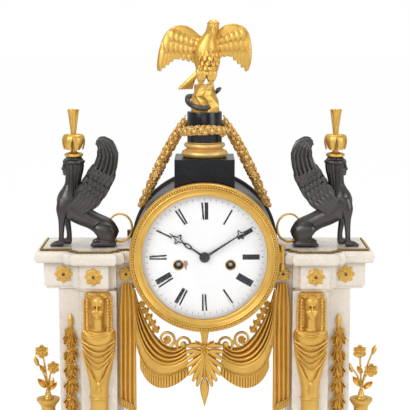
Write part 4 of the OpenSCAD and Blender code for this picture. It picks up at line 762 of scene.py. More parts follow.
for name, body, front, angle, length, loop, knot, boss, bore in (
    ("hour_hand", "hour_pipe", 41.0, 55.5, 40.5, 19, (30.4, 4.6), 5.0, 2.1),
    ("minute_hand", "centre_arbor", 42.64, -57, 54.5, 0, (40.4, 4.2), 3.9, 1.06),
):
    neck = loop - 3.2 if loop else knot[0] - knot[1] * 0.94
    disc = cut(rod(boss, (0, 0, 0), (0, 0, hand_t), 40), "DIFFERENCE", rod(bore, (0, 0, -2), (0, 0, 2), 24))
    disc = eased(disc, 0.15, 2)
    parts = [disc, bar(boss - 0.6, neck, 1.3, 0.7), star(*knot), bar(knot[0] + knot[1] * 0.9, length, 0.95, 0.25)]
    if loop:
        parts += [hoop(loop, 1.7, 3.6, 0.55), bar(loop + 3.3, knot[0] - knot[1] * 0.94, 0.62, 0.62),
                  ball(1.15, 12, 8, (1, 0.8, 0.6), (0, loop + 5, hand_t / 2))]
    hand = joined(parts)
    hand.data.transform(at(0, -front, drum_z) @ facing)
    hand.data.transform(at(0, 0, drum_z) @ turned(-angle, "Y") @ at(0, 0, -drum_z))
    settle(smooth(hand, 40), "browned_" + name, body, gunmetal, "blued_steel", name)
cap = smooth(lathe([(0, 43.5), (2.5, 43.5), (2.6, 44), (2.5, 45.4), (2, 46.4), (1, 46.9), (0, 47)], 40), 40)
settle(cap, "browned_hand_cap", "centre_arbor", gunmetal, "blued_steel")

# Drum and movement
# Spun drum with a patinated skin, held between the entablatures. Behind the dial are brass plates and wheels on
# steel arbors, the pallets and the pendulum, and a cast bell that is screwed to its stud.
patina = metal("dark_patina", (0.1, 0.093, 0.09), (0.022, 0.019, 0.018), (0.02, 0.018, 0.016), 0.5, 0.85, 0.06,
               0.22)
steel = metal("polished_steel", (0.5, 0.5, 0.5), (0.26, 0.25, 0.24), (0.05, 0.04, 0.03), 0.4, 1.0, 0.03)
bell_metal = metal("bell_metal", (0.66, 0.55, 0.34), (0.34, 0.25, 0.13), (0.06, 0.05, 0.03), 0.5, 1.0, 0.03)
for name, material in (("drum_case", patina), ("rear_bezel", patina), ("bell", bell_metal), ("going_arbor", steel),
                       ("strike_arbor", steel), ("pallets", steel), ("pendulum_rod", steel), ("hammer", steel)):
    dress(name, material)

# Drapery
# Two cast and gilt swags with fringed hems hang from rosettes on the frieze, each with a pleated tail, a rolled
# leaf scroll and a chain of leaves, screwed to the back of the portico and to the palmette.


def curve_point(points, f):
    """Point on a bend that is drawn by three points."""
    a, b, c = (Vector(p) for p in points)
    return a.lerp(b, f).lerp(b.lerp(c, f), f)


def bend(points, f):
    """Point on a bend that is drawn by four points."""
    a, b, c, d = (Vector(p) for p in points)
    g = 1 - f
    return a * g ** 3 + b * (3 * g * g * f) + c * (3 * g * f * f) + d * f ** 3


cloth_y, tail_x, tail_top = -23.4, 74.07, -28.3
tail_wide, tail_end, tail_slant = 15.6, -141, 9
upper_edge = [(67, -34), (61.5, -62), (39, -107), (18.5, -86)]
hem_edge = [(69, -34), (71, -120), (48, -133), (15.2, -111)]
fold_share = 0.66


def cloth(f, v):
    """Place in the swag at a share along it and down it, from the axis of the drum."""
    return bend(upper_edge, f).lerp(bend(hem_edge, f), v)


def swag(u, v):
    """Cloth gathered at its two ends: soft round folds above, a plain apron below and a rolled upper edge."""
    wander = v / fold_share + 0.045 * math.sin(5 * u + 6 * v)
    ridge = math.sin(math.pi * 4 * wander) ** 2 * (1.05 - 0.35 * wander) if v < fold_share else 0.0
    ridge = max(ridge, 0.52 * min(1, max(0, (v - fold_share + 0.14) / 0.16)) * (1 - 0.35 * (v - fold_share)))
    deep = 1.7 + 2.7 * math.sin(math.pi * min(1, 0.06 + 0.94 * u)) ** 0.8
    p = cloth(u, v)
    return p.x, cloth_y - 1.0 - deep * ridge - 0.1 * math.sin(2 * math.pi * (19 * v + 1.3 * u)), drum_z + p.y


def hem_front(u):
    return swag(u, 1)[1] - 0.3


def fringe(edge, top, fall, strands):
    """Corrugated band of twisted threads under an edge given as a function of its share."""
    def place(u, v):
        p = edge(u)
        rib = abs(math.sin(math.pi * strands * u))
        return p.x, top(u) - 1.2 * rib ** 0.6 - 0.4 * math.sin(math.pi * v), drum_z + p.y - fall(u) * v
    return sheet(place, strands * 6, 6, 0.7)


def beaded(edge, front, count, radius=0.85):
    """Row of beads along an edge."""
    spots = [(edge(i / count), front(i / count)) for i in range(count + 1)]
    return strewn(ball(radius, 8, 6), [at(p.x, y, drum_z + p.y) for p, y in spots])


def drape_tail(u, v):
    """Pleated end that falls from the rosette and is cut off aslant."""
    gather = 0.6 + 0.4 * min(1, 5 * v) ** 0.7
    x = tail_x + gather * tail_wide * (u - 0.5)
    ridge = math.sin(math.pi * (3.6 * u + 0.16 + 0.06 * math.sin(5 * v))) ** 2
    end = tail_end - tail_slant * (1 - u)
    return x, cloth_y - 1.6 - (1.1 + 0.9 * min(1, 3 * v)) * ridge, drum_z + tail_top + (end - tail_top) * v


def tail_hem(u):
    return Vector((tail_x + tail_wide * (u - 0.5), tail_end - tail_slant * (1 - u)))


def scroll(x, z, radius, thick):
    """Rolled stem that thins towards a small flower in its middle."""
    path, radii, turns = [], [], 1.5
    for i in range(49):
        f = i / 48
        a = math.radians(250 - 360 * turns * f)
        reach = radius * (1 - 0.72 * f)
        path.append((x + reach * math.cos(a), cloth_y - 2.8 - 1.2 * f, drum_z + z + reach * math.sin(a)))
        radii.append(thick * (1 - 0.4 * f))
    heart = [at(x, cloth_y - 4.4, drum_z + z) @ facing @ turned(72 * i, "Z") for i in range(5)]
    return joined([tube(path, radii, 3), strewn(petal(0, radius * 0.42, radius * 0.2, 0.5, 0.3), heart)])


def arch(x, z, radius, thick):
    """Half ring over a bud, where the folds are gathered."""
    angles = [math.radians(-20 + 220 * i / 24) for i in range(25)]
    path = [(x + radius * math.cos(a), cloth_y - 3, drum_z + z + radius * math.sin(a)) for a in angles]
    bud = ball(radius * 0.52, 16, 10, (1, 0.8, 1), (x, cloth_y - 4, drum_z + z - 0.5))
    return joined([tube(path, [thick] * 25, 3), bud])


def leaf_chain(foot, head, leaves, size):
    """Stem with broad lobed leaves on both sides, in the plane of the cloth."""
    foot, head = Vector(foot), Vector(head)
    aim = math.degrees(math.atan2(head.y - foot.y, head.x - foot.x)) - 90
    spots = []
    for i in range(leaves):
        p = foot.lerp(head, (i + 0.3) / leaves)
        for k, turn in enumerate((52, 18, -18, -52)):
            spots.append(at(p.x, cloth_y - 2.8 - 0.3 * (k % 2), drum_z + p.y) @ facing @ turned(aim + turn, "Z"))
    stem = tube([(p.x, cloth_y - 2.4, drum_z + p.y) for p in (foot, foot.lerp(head, 0.5), head)], [1.5, 1.6, 1.1],
                3)
    return joined([strewn(petal(0, size, size * 0.32, 0.35, 0.1, 0.3, 0.8, 1.0), spots), stem])


fringe_start, fringe_run = 0.36, 0.635
swag_parts = [
    sheet(swag, 64, 110, 0.9),
    fringe(lambda u: cloth(fringe_start + fringe_run * u, 0.99), lambda u: hem_front(fringe_start + fringe_run * u),
           lambda u: 11 - 4 * u ** 6, 19),
    beaded(lambda u: cloth(0.12 + 0.87 * u, 0.985), lambda u: hem_front(0.12 + 0.87 * u) - 0.9, 50),
    beaded(lambda u: cloth(0.3 + 0.69 * u, 0.9), lambda u: swag(0.3 + 0.69 * u, 0.9)[1] - 0.6, 44, 0.5),
    sheet(drape_tail, 64, 40, 0.9),
    fringe(tail_hem, lambda u: cloth_y - 3.2, lambda u: 7, 9),
    beaded(tail_hem, lambda u: cloth_y - 4.6, 9),
    scroll(36.6, -82.5, 8.2, 1.5),
    arch(20.2, -87.5, 6.4, 1.3),
    tube([(28.6, cloth_y - 3, drum_z - 84.5), (26.8, cloth_y - 3, drum_z - 88.5), (25.4, cloth_y - 3, drum_z - 93)],
         [1.3, 1.5, 1.3], 3),
    leaf_chain((45, -76.5), (62, -46), 5, 5.6),
]
pair(joined(swag_parts), "gilt_", "drapery", gilt, "gilt_bronze", 50)

# Palmette
# Cast gilt mount under the drum: a fluted stem, a knot with gathered bands, a fan of curved lobes and a hanging
# bud. It covers the screws where the two swags meet.


def limb(stations, sides=20, up=(0, 1, 0), fine=4, flutes=0, flute=0.0):
    """Smooth tapering body through stations (x, y, z, half width, half depth), fluted along it if wanted."""
    n, thin = len(stations), 0.15
    rows = [Vector(s) for s in stations]
    through = []
    for k in range(n - 1):
        p0, p1, p2, p3 = rows[max(k - 1, 0)], rows[k], rows[k + 1], rows[min(k + 2, n - 1)]
        for i in range(fine if k < n - 2 else fine + 1):
            t = i / fine
            mid = 2 * p1 + (p2 - p0) * t + (2 * p0 - 5 * p1 + 4 * p2 - p3) * t * t
            mid += (3 * p1 - p0 - 3 * p2 + p3) * t ** 3
            through.append(mid * 0.5)
    loops = []
    for k, row in enumerate(through):
        before, after = through[max(k - 1, 0)], through[min(k + 1, len(through) - 1)]
        run = Vector((after[0] - before[0], after[1] - before[1], after[2] - before[2])).normalized()
        side = run.cross(Vector(up)).normalized()
        lift = side.cross(run)
        centre = Vector(row[:3])
        ring = []
        for i in range(sides):
            a = 2 * math.pi * i / sides
            grow = 1 - flute * abs(math.sin(flutes * a / 2)) if flutes else 1
            ring.append(centre + side * (max(row[3], thin) * grow * math.cos(a))
                        + lift * (max(row[4], thin) * grow * math.sin(a)))
        loops.append(ring)
    return smooth(ring_solid(loops), 60)


top, root, mount_y = -70.9, -92, -33.5
bud = root - 29
stem = limb([(0, mount_y, drum_z + top, 5.0, 2.4), (0, mount_y, drum_z + top - 3, 4.4, 2.6),
             (0, mount_y, drum_z + top - 9, 3.1, 2.4), (0, mount_y, drum_z + root, 2.3, 2.4),
             (0, mount_y - 1, drum_z + bud + 6, 2.0, 1.8), (0, mount_y - 1, drum_z + bud, 1.5, 1.5)], 48, flutes=10,
             flute=0.2)
palmette_parts = [stem, ball(4.4, 24, 14, (1, 0.7, 0.9), (0, mount_y - 1.8, drum_z + root + 2))]
for s in (1, -1):
    for x, z, start in ((17.4, -100, 0), (17.6, -107, 2), (15.6, -115.6, 4), (11.6, -121.6, 6), (7.4, -126.6, 8)):
        foot = root - start
        elbow = Vector((0.42 * x * s, foot + 0.45 * (z - foot) - (2 if start else -2)))
        line = [Vector((0.8 * s, foot)), elbow, Vector((x * s, z))]
        rows = [(curve_point(line, i / 6), (1.2, 1.8, 2.3, 2.7, 2.8, 2.4, 1.3)[i]) for i in range(7)]
        lobe = [(p.x, mount_y - 0.4 - 0.45 * i, drum_z + p.y, 0.88 * w, 2.3) for i, (p, w) in enumerate(rows)]
        palmette_parts.append(limb(lobe, 18))
    for z, reach in ((-87, 17), (-92.6, 17.6)):
        palmette_parts.append(limb([(2.5 * s, mount_y - 1.4, drum_z + z - 1, 2.0, 2.2),
                                    (8 * s, mount_y - 2, drum_z + z + 0.6, 2.7, 2.4),
                                    (14 * s, mount_y - 1.4, drum_z + z, 2.5, 2.2),
                                    (reach * s, mount_y - 0.6, drum_z + z - 0.6, 1.4, 1.5)], 40, flutes=6,
                                    flute=0.18))
    for angle, size in ((44, 9), (66, 8)):
        leaf = petal(0, size, 2.0, 0.35, 0.2, 0.3, 0.7)
        leaf.data.transform(at(2.6 * s, mount_y - 1.4, drum_z + root + 4) @ facing @ turned(-angle * s, "Z"))
        palmette_parts.append(leaf)
knot_petals = [at(0, mount_y - 4.6, drum_z + root + 2) @ facing @ turned(72 * i, "Z") for i in range(5)]
palmette_parts.append(strewn(petal(0, 4.2, 1.7, 0.5, 0.3, 0.2, 0.7), knot_petals))
palmette_parts.append(limb([(0, mount_y - 1, drum_z + bud + 1, 2.2, 2),
                            (0, mount_y - 1, drum_z + bud - 2, 3.4, 2.6),
                            (0, mount_y - 1, drum_z + bud - 6, 4.4, 2.9),
                            (0, mount_y - 1, drum_z + bud - 12, 4, 2.6),
                            (0, mount_y - 1, drum_z + bud - 19, 2.2, 1.8),
                            (0, mount_y - 1, drum_z + bud - 26, 0.3, 0.3)], 32, flutes=8, flute=0.16))
settle(smooth(joined(palmette_parts), 60), "gilt_palmette", "case", gilt, "gilt_bronze", "palmette")

# Herms
# Two gilt terms in the Egyptian manner, cast as half figures with flat backs: striped head cloth, beaded lappets
# and a draped bust that runs down into a tapering shaft with a tassel. Each is pinned to its pilaster.


def cast(pieces, voxel=0.5, rounds=1, most=180000):
    """Fuses overlapping pieces into one skin, as a casting has, softens it and thins its triangles."""
    figure = pick(joined(pieces))
    skin = figure.modifiers.new("one_skin", "REMESH")
    skin.mode = "VOXEL"
    skin.voxel_size = voxel * mm
    skin.use_smooth_shade = True
    bpy.ops.object.modifier_apply(modifier=skin.name)
    soft = figure.modifiers.new("chased", "SMOOTH")
    soft.iterations = rounds
    bpy.ops.object.modifier_apply(modifier=soft.name)
    lean = figure.modifiers.new("lean", "DECIMATE")
    lean.ratio = min(1, most / sum(len(face.vertices) - 2 for face in figure.data.polygons))
    bpy.ops.object.modifier_apply(modifier=lean.name)
    return figure


def calm_face(tall):
    """Plain face that looks along -Y from its chin up, by the schoolbook shares of its height."""
    def lump(x, y, z, across, deep, high):
        return ball(tall, 20, 12, (across, deep, high), (x * tall, y * tall, z * tall))
    parts = [lump(0, 0, 0.74, 0.32, 0.37, 0.26), lump(0, 0.02, 0.5, 0.3, 0.27, 0.4),
             lump(0, -0.085, 0.26, 0.25, 0.28, 0.26),
             lump(0, -0.27, 0.07, 0.1, 0.085, 0.07)]
    for s in (1, -1):
        parts += [lump(0.135 * s, -0.235, 0.5, 0.08, 0.06, 0.04), lump(0.135 * s, -0.285, 0.6, 0.125, 0.07, 0.03),
                  lump(0.16 * s, -0.19, 0.33, 0.1, 0.12, 0.11)]
    parts += [lump(0, -0.345, 0.215, 0.09, 0.035, 0.024), lump(0, -0.335, 0.16, 0.07, 0.04, 0.026)]
    nose = ((-0.31, 0.62, 0.035, 0.05), (-0.345, 0.46, 0.04, 0.06), (-0.395, 0.35, 0.06, 0.055),
            (-0.355, 0.3, 0.05, 0.03))
    parts.append(limb([(0, *(share * tall for share in station)) for station in nose], 12))
    return joined(parts)


def along(points, radius, steps=16):
    """Wire of even thickness along a bend through three points."""
    return tube([curve_point(points, i / steps) for i in range(steps + 1)], [radius] * (steps + 1), 2)


herm_spot, herm_foot, herm_parts = (101.3, -34.02, 234), -178, []
herm_parts.append(limb([(0, 0, herm_foot + 8, 7.5, 7.4), (0, 0, -140, 8.1, 8), (0, 0, -112, 8.6, 8.5),
                        (0, 0, -92, 9.2, 9), (0, 0, -76, 12.4, 10.5),
                        (0, 0, -60, 15, 12), (0, 0, -50, 16.2, 14), (0, 0, -43, 16.8, 15), (0, 0, -38, 15.4, 13.5),
                        (0, 0, -34, 9, 10),
                        (0, 0, -24, 5, 9)], 40))
foot_plan = ((-11, 2), (-11, -9), (11, -9), (11, 2))
herm_parts.append(eased(ring_solid([[(x, y, z) for x, y in foot_plan] for z in (herm_foot, herm_foot + 9)]), 0.8))
for z, grow in ((-166, 1.2), (-150, 0.6), (-134, 0.6), (-118, 0.6), (-104, 0.7)):
    wide = 7.5 + 1.2 * (z + 168) / 56
    swell = ((-1.2, -0.2), (-0.7, grow), (0.7, grow), (1.2, -0.2))
    herm_parts.append(limb([(0, 0, z + d, wide + g, wide + g) for d, g in swell], 40, fine=2))
cloth_stripes = limb([(0, 0, -39, 13, 6), (0, 0, -30, 13.6, 7), (0, 0, -18, 13.6, 8), (0, 0, -8, 12.6, 9.6),
                      (0, 0, -2.5, 11.6, 10.5), (0, 0, -0.4, 10, 9)],
                     112, flutes=28, flute=0.09)
head = calm_face(23)
head.data.transform(at(0, -9.4, -24.4))
neck = limb([(0, -5, -40, 6, 6), (0, -6, -26, 5.4, 6), (0, -7, -20, 6, 6)], 20)
herm_parts += [cloth_stripes, head, neck]
herm_parts.append(along([(-12, -4, -3), (0, -20, -5.4), (12, -4, -3)], 1.3))
herm_parts += [along([(-14.5 + k, -9, -36), (0, -22 + 2 * k, -50 + 5 * k), (14.5 - k, -9, -36)],
                     0.8) for k in range(3)]
for k in range(5):
    wide = 16 - 0.5 * k
    lowest = (1.5 * (-1) ** k, -21.5 + 1.2 * k, -57 - 8 * k)
    herm_parts.append(along([(-wide, -9, -46 - 3.6 * k), lowest, (wide, -9, -45 - 3.6 * k)], 1.0 - 0.08 * k))
for s in (1, -1):
    herm_parts.append(along([(s * 15.4, -5, -58), (s * 10, -13.5, -76), (0, -9.4, -91)], 1.1))
    for x, front in ((9.6, -10.6), (12.6, -8.2)):
        lappet = [at(s * (x + 0.02 * k), front - 0.7, -6.5 - 3.1 * k) for k in range(11)]
        herm_parts.append(strewn(ball(1.55, 12, 8), lappet))
herm_parts.append(limb([(0, -9.4, -86, 1.2, 1.2), (0, -9.8, -89, 2.6, 2.2), (0, -9.8, -91, 1.7, 1.7),
                        (0, -10, -96, 3.1, 2.2), (0, -10, -98, 2.6, 1.6)],
                       48, flutes=10, flute=0.22))
figure = joined(herm_parts)
for corner in figure.data.vertices:
    corner.co.y = min(corner.co.y, 0)
figure = cast([figure], 0.34)
figure.data.transform(at(*herm_spot))
pair(figure, "gilt_", "herm", gilt, "gilt_bronze")

# Wing pendants
# Chains of flowers and leaves under a bud, on the outer wings of the pilasters. Each is cast as one gilt strip
# and pinned at its top.
pendant_x, pendant_top, pendant_long, pendant_pitch = 129.5, 200, 92, 16
husks = [tube([(pendant_x, -20.4, pendant_top + 5), (pendant_x, -20.4, pendant_top - pendant_long)], [1.5, 1.5], 3),
         limb([(pendant_x, -20.6, pendant_top - 2, 2.4, 1.8), (pendant_x, -20.8, pendant_top + 3, 3.0, 2),
               (pendant_x, -20.4, pendant_top + 9, 0.4, 0.4)], 20, flutes=5, flute=0.2)]
pendant_leaves = ((62, 8.4, 2.8, 0.2), (-58, 8.4, 2.8, 0.2), (30, 10.6, 2.9, 0.9), (-32, 10.2, 2.9, 0.8),
                  (6, 11.5, 2.7, 1.6))
for k in range(6):
    z = pendant_top - 9 - pendant_pitch * k
    bloom = flower(6, 5.4, cup=0.5)
    bloom.data.transform(at(pendant_x + 0.8 * (-1) ** k, -21, z) @ facing @ turned(13 * k, "Z"))
    husks.append(bloom)
    for i, (angle, long, half_width, lift) in enumerate(pendant_leaves):
        leaf = petal(0, long, half_width, 0.4, 0.08, 0.35, 0.8, 0.9, full=0.6)
        aim = turned(180 + angle + 7 * math.sin(5 * k + i), "Z")
        leaf.data.transform(at(pendant_x, -20.4 - lift, z - 3.2) @ facing @ aim)
        husks.append(leaf)
strip = joined(husks)
pendants = joined([strip, mirrored(strip)])
settle(smooth(pendants, 50), "gilt_pendants", "case", gilt, "gilt_bronze", "pilaster_pendants")

# Vases and bouquets
# Turned gilt vases with lobed bowls stand on the ends of the base. A gilt bouquet of stamped flowers, buds and
# leaves on wire stems is plugged into the mouth of each.


def upright(profile, place):
    """Solid turned about a vertical axis through points (radius, height, depth of its lobes)."""
    loops, steps, lobes = [], 72, 12
    for r, h, deep in profile:
        ring = [2 * math.pi * i / steps for i in range(steps)]
        reach = [r * (1 - deep * abs(math.sin(lobes * a / 2))) for a in ring]
        loops.append([(place[0] + q * math.cos(a), place[1] + q * math.sin(a), place[2] + h)
                      for a, q in zip(ring, reach)])
    return smooth(ring_solid(loops), 40)


vase_spot, plug_z = (153.8, -8, 56), 55.25
vase_profile = [(9, 0, 0), (9, 3.9, 0), (8.2, 4.3, 0), (7, 5.9, 0), (5, 8.2, 0.06), (3.4, 12, 0.06),
                (2.8, 16, 0.06), (2.7, 19.4, 0), (4.2, 19.9, 0),
                (4.5, 20.8, 0), (4.2, 21.6, 0), (3.1, 22.4, 0), (3.1, 23.4, 0), (5.4, 25.4, 0.12),
                (7.4, 28.4, 0.14), (8.9, 32, 0.14),
                (9.7, 35.8, 0.12), (10.1, 39.6, 0.05), (10.2, 40.4, 0), (10.6, 41.2, 0), (10.2, 42.9, 0),
                (8.4, 47.5, 0), (7, 52, 0),
                (6.7, 55, 0), (7.2, 57.4, 0), (9, 60, 0), (10.7, 62.2, 0), (11.3, 63.7, 0), (11.3, 65, 0),
                (5.7, 65, 0), (5.7, 55.3, 0)]
vase = upright(vase_profile, vase_spot)
settle(joined([vase, mirrored(vase)]), "gilt_vases", "case", gilt, "gilt_bronze", "vases")


def bouquet(stems, leaves):
    """Plug and bent stems; each stem is (lean across, share of the height, radius of its flower or bud)."""
    rim, tall = 9.75, 55
    parts = [limb([(0, 0, 0.05, 5.3, 5.3), (0, 0, rim, 5.3, 5.3), (0, 0, rim + 3, 3.4, 3.4),
                   (0, 0, rim + 9, 1.9, 1.9)], 24)]
    for lean, share, radius in stems:
        tip = Vector((lean, -3, rim + tall * share - radius))
        parts.append(along([(0, 0, rim + 2), (0, -1, rim + tall * 0.4), tip], 0.9))
        if radius > 4:
            bloom = flower(6, radius, True, 0.35)
            bloom.data.transform(at(tip.x, tip.y - 0.6, tip.z) @ facing)
            parts += [bloom, ball(radius * 0.34, 12, 8, (1, 1, 1), tuple(tip + Vector((0, 1, 0))))]
        else:
            parts.append(limb([(tip.x, tip.y, tip.z - 4, 0.8, 0.8), (tip.x, tip.y, tip.z - 1.5, 2.1, 2.1),
                               (tip.x + 0.12 * lean, tip.y, tip.z + 2, 2.4, 2.4),
                               (tip.x + 0.2 * lean, tip.y, tip.z + 5.4, 0.5, 0.5)], 20, flutes=5, flute=0.2))
    for x, z, angle, size in leaves:
        leaf = petal(0, size, size * 0.27, 0.4, 0.15, 0.35, 0.6, 1.0)
        leaf.data.transform(at(x, -2.4, rim + z) @ facing @ turned(angle, "Z"))
        parts.append(leaf)
    made = joined(parts)
    made.data.transform(at(vase_spot[0], vase_spot[1], vase_spot[2] + plug_z))
    return made


right_bouquet = bouquet([(-2.5, 1, 7), (9, 0.66, 7), (-10, 0.62, 3), (11, 0.95, 3)],
                        [(-1, 14, 40, 12), (2, 11, -50, 11), (0, 26, 30, 9)])
left_bouquet = bouquet([(5, 1, 7), (-6, 0.7, 6.4), (10, 0.74, 3), (-4, 0.36, 3)],
                       [(1, 12, -42, 12), (-1, 10, 48, 11), (2, 27, -34, 9)])
swapped = mirrored(left_bouquet)
bpy.data.objects.remove(left_bouquet)
settle(smooth(right_bouquet, 50), "gilt_bouquet_right", "case", gilt, "gilt_bronze", "bouquet_right")
settle(smooth(swapped, 50), "gilt_bouquet_left", "case", gilt, "gilt_bronze", "bouquet_left")

# Column base, wreath and garlands
# The black column drum stands on a turned gilt base. A half wreath of small gilt flowers is sprung round its
# front, and two garlands hang from it beside the pedestal and rest on the clock drum.
dress("column_base", pale_gilt)


def flower_string(path, radius, count, skip=None):
    """Core wire closely wound with small roses and leaves; path(f) gives points in millimetres."""
    def taper(f):
        return 0.62 + 0.38 * math.sin(math.pi * f) ** 0.5
    roses, leaves = [], []
    for i in range(count):
        f = (i + 0.5) / count
        here = path(f)
        run = (path(f + 0.01) - path(f - 0.01)).normalized()
        side = run.cross(Vector((0.3, 1, 0.2))).normalized()
        a = math.radians(137.5 * i)
        out = side * math.cos(a) + run.cross(side) * math.sin(a)
        if not (skip and skip(here, out)):
            aim = out.to_track_quat("Z", "Y").to_matrix().to_4x4()
            place = Matrix.Translation((here + out * radius * 0.5 * taper(f)) * mm) @ aim
            (leaves if i % 5 == 0 else roses).append(place @ Matrix.Scale(taper(f), 4) @ turned(60 * i, "Z"))
    heart = ball(radius * 0.4, 12, 8, (1, 1, 0.9), (0, 0, radius * 0.1))
    rose = joined([flower(5, radius * 0.7, False, 0.8, (4, 6), heart=0.3), heart])
    leaf = petal(0.2, radius * 0.95, radius * 0.36, 0.4, 0.1, 0.3, 0.6, 1.0, (4, 6))
    core = tube([path(i / 40) for i in range(41)], [radius * 0.62 * taper(i / 40) for i in range(41)], 3)
    return joined([strewn(rose, roses), core, strewn(leaf, leaves)])


wreath_r, wreath_z, garland_y = 20.1, 383.9, 8.8


def wreath_path(f):
    a = math.radians(180 + 180 * f)
    return Vector((wreath_r * math.cos(a), wreath_r * math.sin(a), wreath_z + 4 * (math.sin(math.pi * f) - 0.4)))


def garland_path(f):
    p = curve_point([(18, 394), (36.5, 366), (62, 309.8)], f)
    return Vector((p.x, garland_y, p.y))


def inside(here, out):
    """True for a rose of the wreath that would sink into the column."""
    return out.dot(Vector((here.x, here.y, 0)).normalized()) < -0.35


wreath = flower_string(wreath_path, 5.4, 54, inside)
settle(smooth(wreath, 50), "gilt_wreath", "case", pale_gilt, "gilt_bronze", "column_wreath")
garland = flower_string(garland_path, 6.2, 72)
settle(smooth(joined([garland, mirrored(garland)]), 50), "gilt_garlands", "case", pale_gilt, "gilt_bronze",
       "garlands")

# Rock and snake
# A gilt crag with a level top is screwed to the black column drum. A dark bronze snake, cast on its own, winds
# round it with its head low at the front.
rock_z, rock_h, rock_r, rock_sides, rock_levels = 402.5, 26, 14.65, 9, 5


def rock_reach(z):
    return rock_r * (1 - 0.32 * z / rock_h)


def crag(k):
    """Outline of the rock at one of its levels."""
    z, turn = rock_h * k / rock_levels, 0.4 * math.sin(math.radians(83 * k))
    ring = []
    for i in range(rock_sides):
        wild = 0.09 * math.sin(math.radians(137 * i + 71 * k)) + 0.05 * math.sin(math.radians(59 * i - 97 * k))
        a, reach = 2 * math.pi * (i + turn) / rock_sides, rock_reach(z) * (1 + wild)
        ring.append((reach * math.cos(a), reach * math.sin(a), rock_z + z))
    return ring


rock = pick(ring_solid([crag(k) for k in range(rock_levels + 1)]))
bpy.ops.object.mode_set(mode="EDIT")
bpy.ops.mesh.select_all(action="SELECT")
bpy.ops.mesh.subdivide(number_cuts=6, fractal=0.9, fractal_along_normal=1.0, seed=4)
bpy.ops.object.mode_set(mode="OBJECT")
for corner in rock.data.vertices:
    corner.co.z = min(max(corner.co.z, rock_z * mm), (rock_z + rock_h) * mm)
settle(smooth(rock, 25), "gilt_rock", "case", gilt, "gilt_bronze", "rock")

snake_r, snake_tail, snake_head = 2.7, 22, 5


def snake_at(f):
    """Middle line of the snake from its tail to its head."""
    z = snake_tail + (snake_head - snake_tail) * f + 2 * math.sin(4 * math.pi * f)
    loose = 0.3 + 1.2 * abs(math.sin(3 * math.pi * f)) * math.sin(math.pi * f)
    reach = rock_reach(z) * 1.07 + snake_r * 0.95 + loose
    a = math.radians(-35 + 325 * f)
    return reach * math.cos(a), reach * math.sin(a), rock_z + z


swell = [min(1, 0.35 + 1.6 * i / 40) for i in range(38)]
coils = [(*snake_at(i / 40), snake_r * grow, 2.6 * grow) for i, grow in enumerate(swell)]
coils += [(*snake_at(0.95), 3.3, 2.4), (*snake_at(0.98), 2.9, 2.0), (*snake_at(1.0), 0.8, 0.8)]
settle(limb(coils, 20, (0, 0, 1), 3), "bronze_snake", "case", patina, "dark_bronze", "snake")

# Eagle
# Gilt eagle with half raised wings that stands on the crag: cast in one, with rows of chased feathers, a strong
# brow and a hooked beak.


def plume(points, width, out=(0, -1, 0), rise=0.9, thick=0.8, blunt=0.5):
    """Feather along a bend through three points, with a raised quill and a round end."""
    out = Vector(out)

    def place(u, v):
        run = (curve_point(points, v + 0.02) - curve_point(points, v - 0.02)).normalized()
        across, side = run.cross(out), 2 * u - 1
        swell = width * math.sin(math.pi * (0.16 + 0.8 * v)) ** blunt
        return curve_point(points, v) + across * (side * swell) + out * (rise * (1 - abs(side)) ** 0.8 - 0.5 * side)
    return sheet(place, 6, 12, thick)


perch = 428.5
eagle_parts = [
    limb([(4, 1, 6, 4.6, 5), (3.4, 0.6, 13, 9.6, 8), (2.4, 0, 22, 12.6, 10), (1.6, -0.6, 32, 12, 9.6),
          (3.4, -1.6, 41, 8, 7.4), (6, -3, 48, 5.8, 6),
          (8, -4.2, 54.5, 5.8, 6.4), (8.4, -4.2, 59, 4.8, 5), (8.6, -4, 61.5, 1.6, 1.6)], 28),
    limb([(8.2, -7.4, 55, 2.8, 2.8), (8.2, -10.4, 53, 2.4, 2.6), (8.3, -12.6, 50, 1.7, 2.0),
          (8.4, -12.8, 46.6, 1.1, 1.2), (8.5, -11.8, 43.6, 0.4, 0.5)], 16, (1, 0, 0)),
]
for s in (1, -1):
    brow = [(8.2 + 1.2 * s, -10, 58), (8.2 + 3.4 * s, -9.8, 58.8), (8.2 + 5.4 * s, -6, 57.6)]
    eagle_parts += [ball(1.2, 12, 8, (1, 0.8, 0.9), (8.2 + 3.4 * s, -9, 56.6)), along(brow, 0.9)]
wings = (([(-2, 34, 11), (-12, 38, 11.5), (-21, 46, 10.5), (-30, 44, 8.5), (-37, 33, 6.4), (-42, 20, 3.6),
           (-44.2, 13, 1.2)],
          ((5, (-30, 50), (-21, 38), (-42.6, 12.4), (-28, 24), -4.5, 3.2, -1.2),
           (4, (-20, 40), (-6, 34), (-25, 23.6), (-11, 20.6), -1, 3.4, -1.0),
           (7, (-33, 50), (-6, 39), (-37, 30), (-9, 29), -1.5, 3.2, -2.2),
           (6, (-28, 54), (-6, 44), (-32, 41), (-8, 35), -1, 3.2, -2.8))),
         ([(6, 36, 9), (15, 41, 9.6), (25, 48, 9.5), (34, 47, 8), (38.6, 36, 6.2), (40.6, 22, 4),
           (40.4, 13.2, 1.4)],
          ((5, (34, 51), (25, 39), (39.4, 12.4), (25, 26), 5, 3.2, -1.2),
           (4, (23, 42), (9, 37), (23, 26.6), (11, 24.6), 1, 3.4, -1.0),
           (7, (37, 51), (10, 41), (40, 31), (12, 31), 1.5, 3.2, -2.2),
           (6, (33, 54), (11, 46), (37, 42), (12, 37), 1, 3.2, -2.8))))
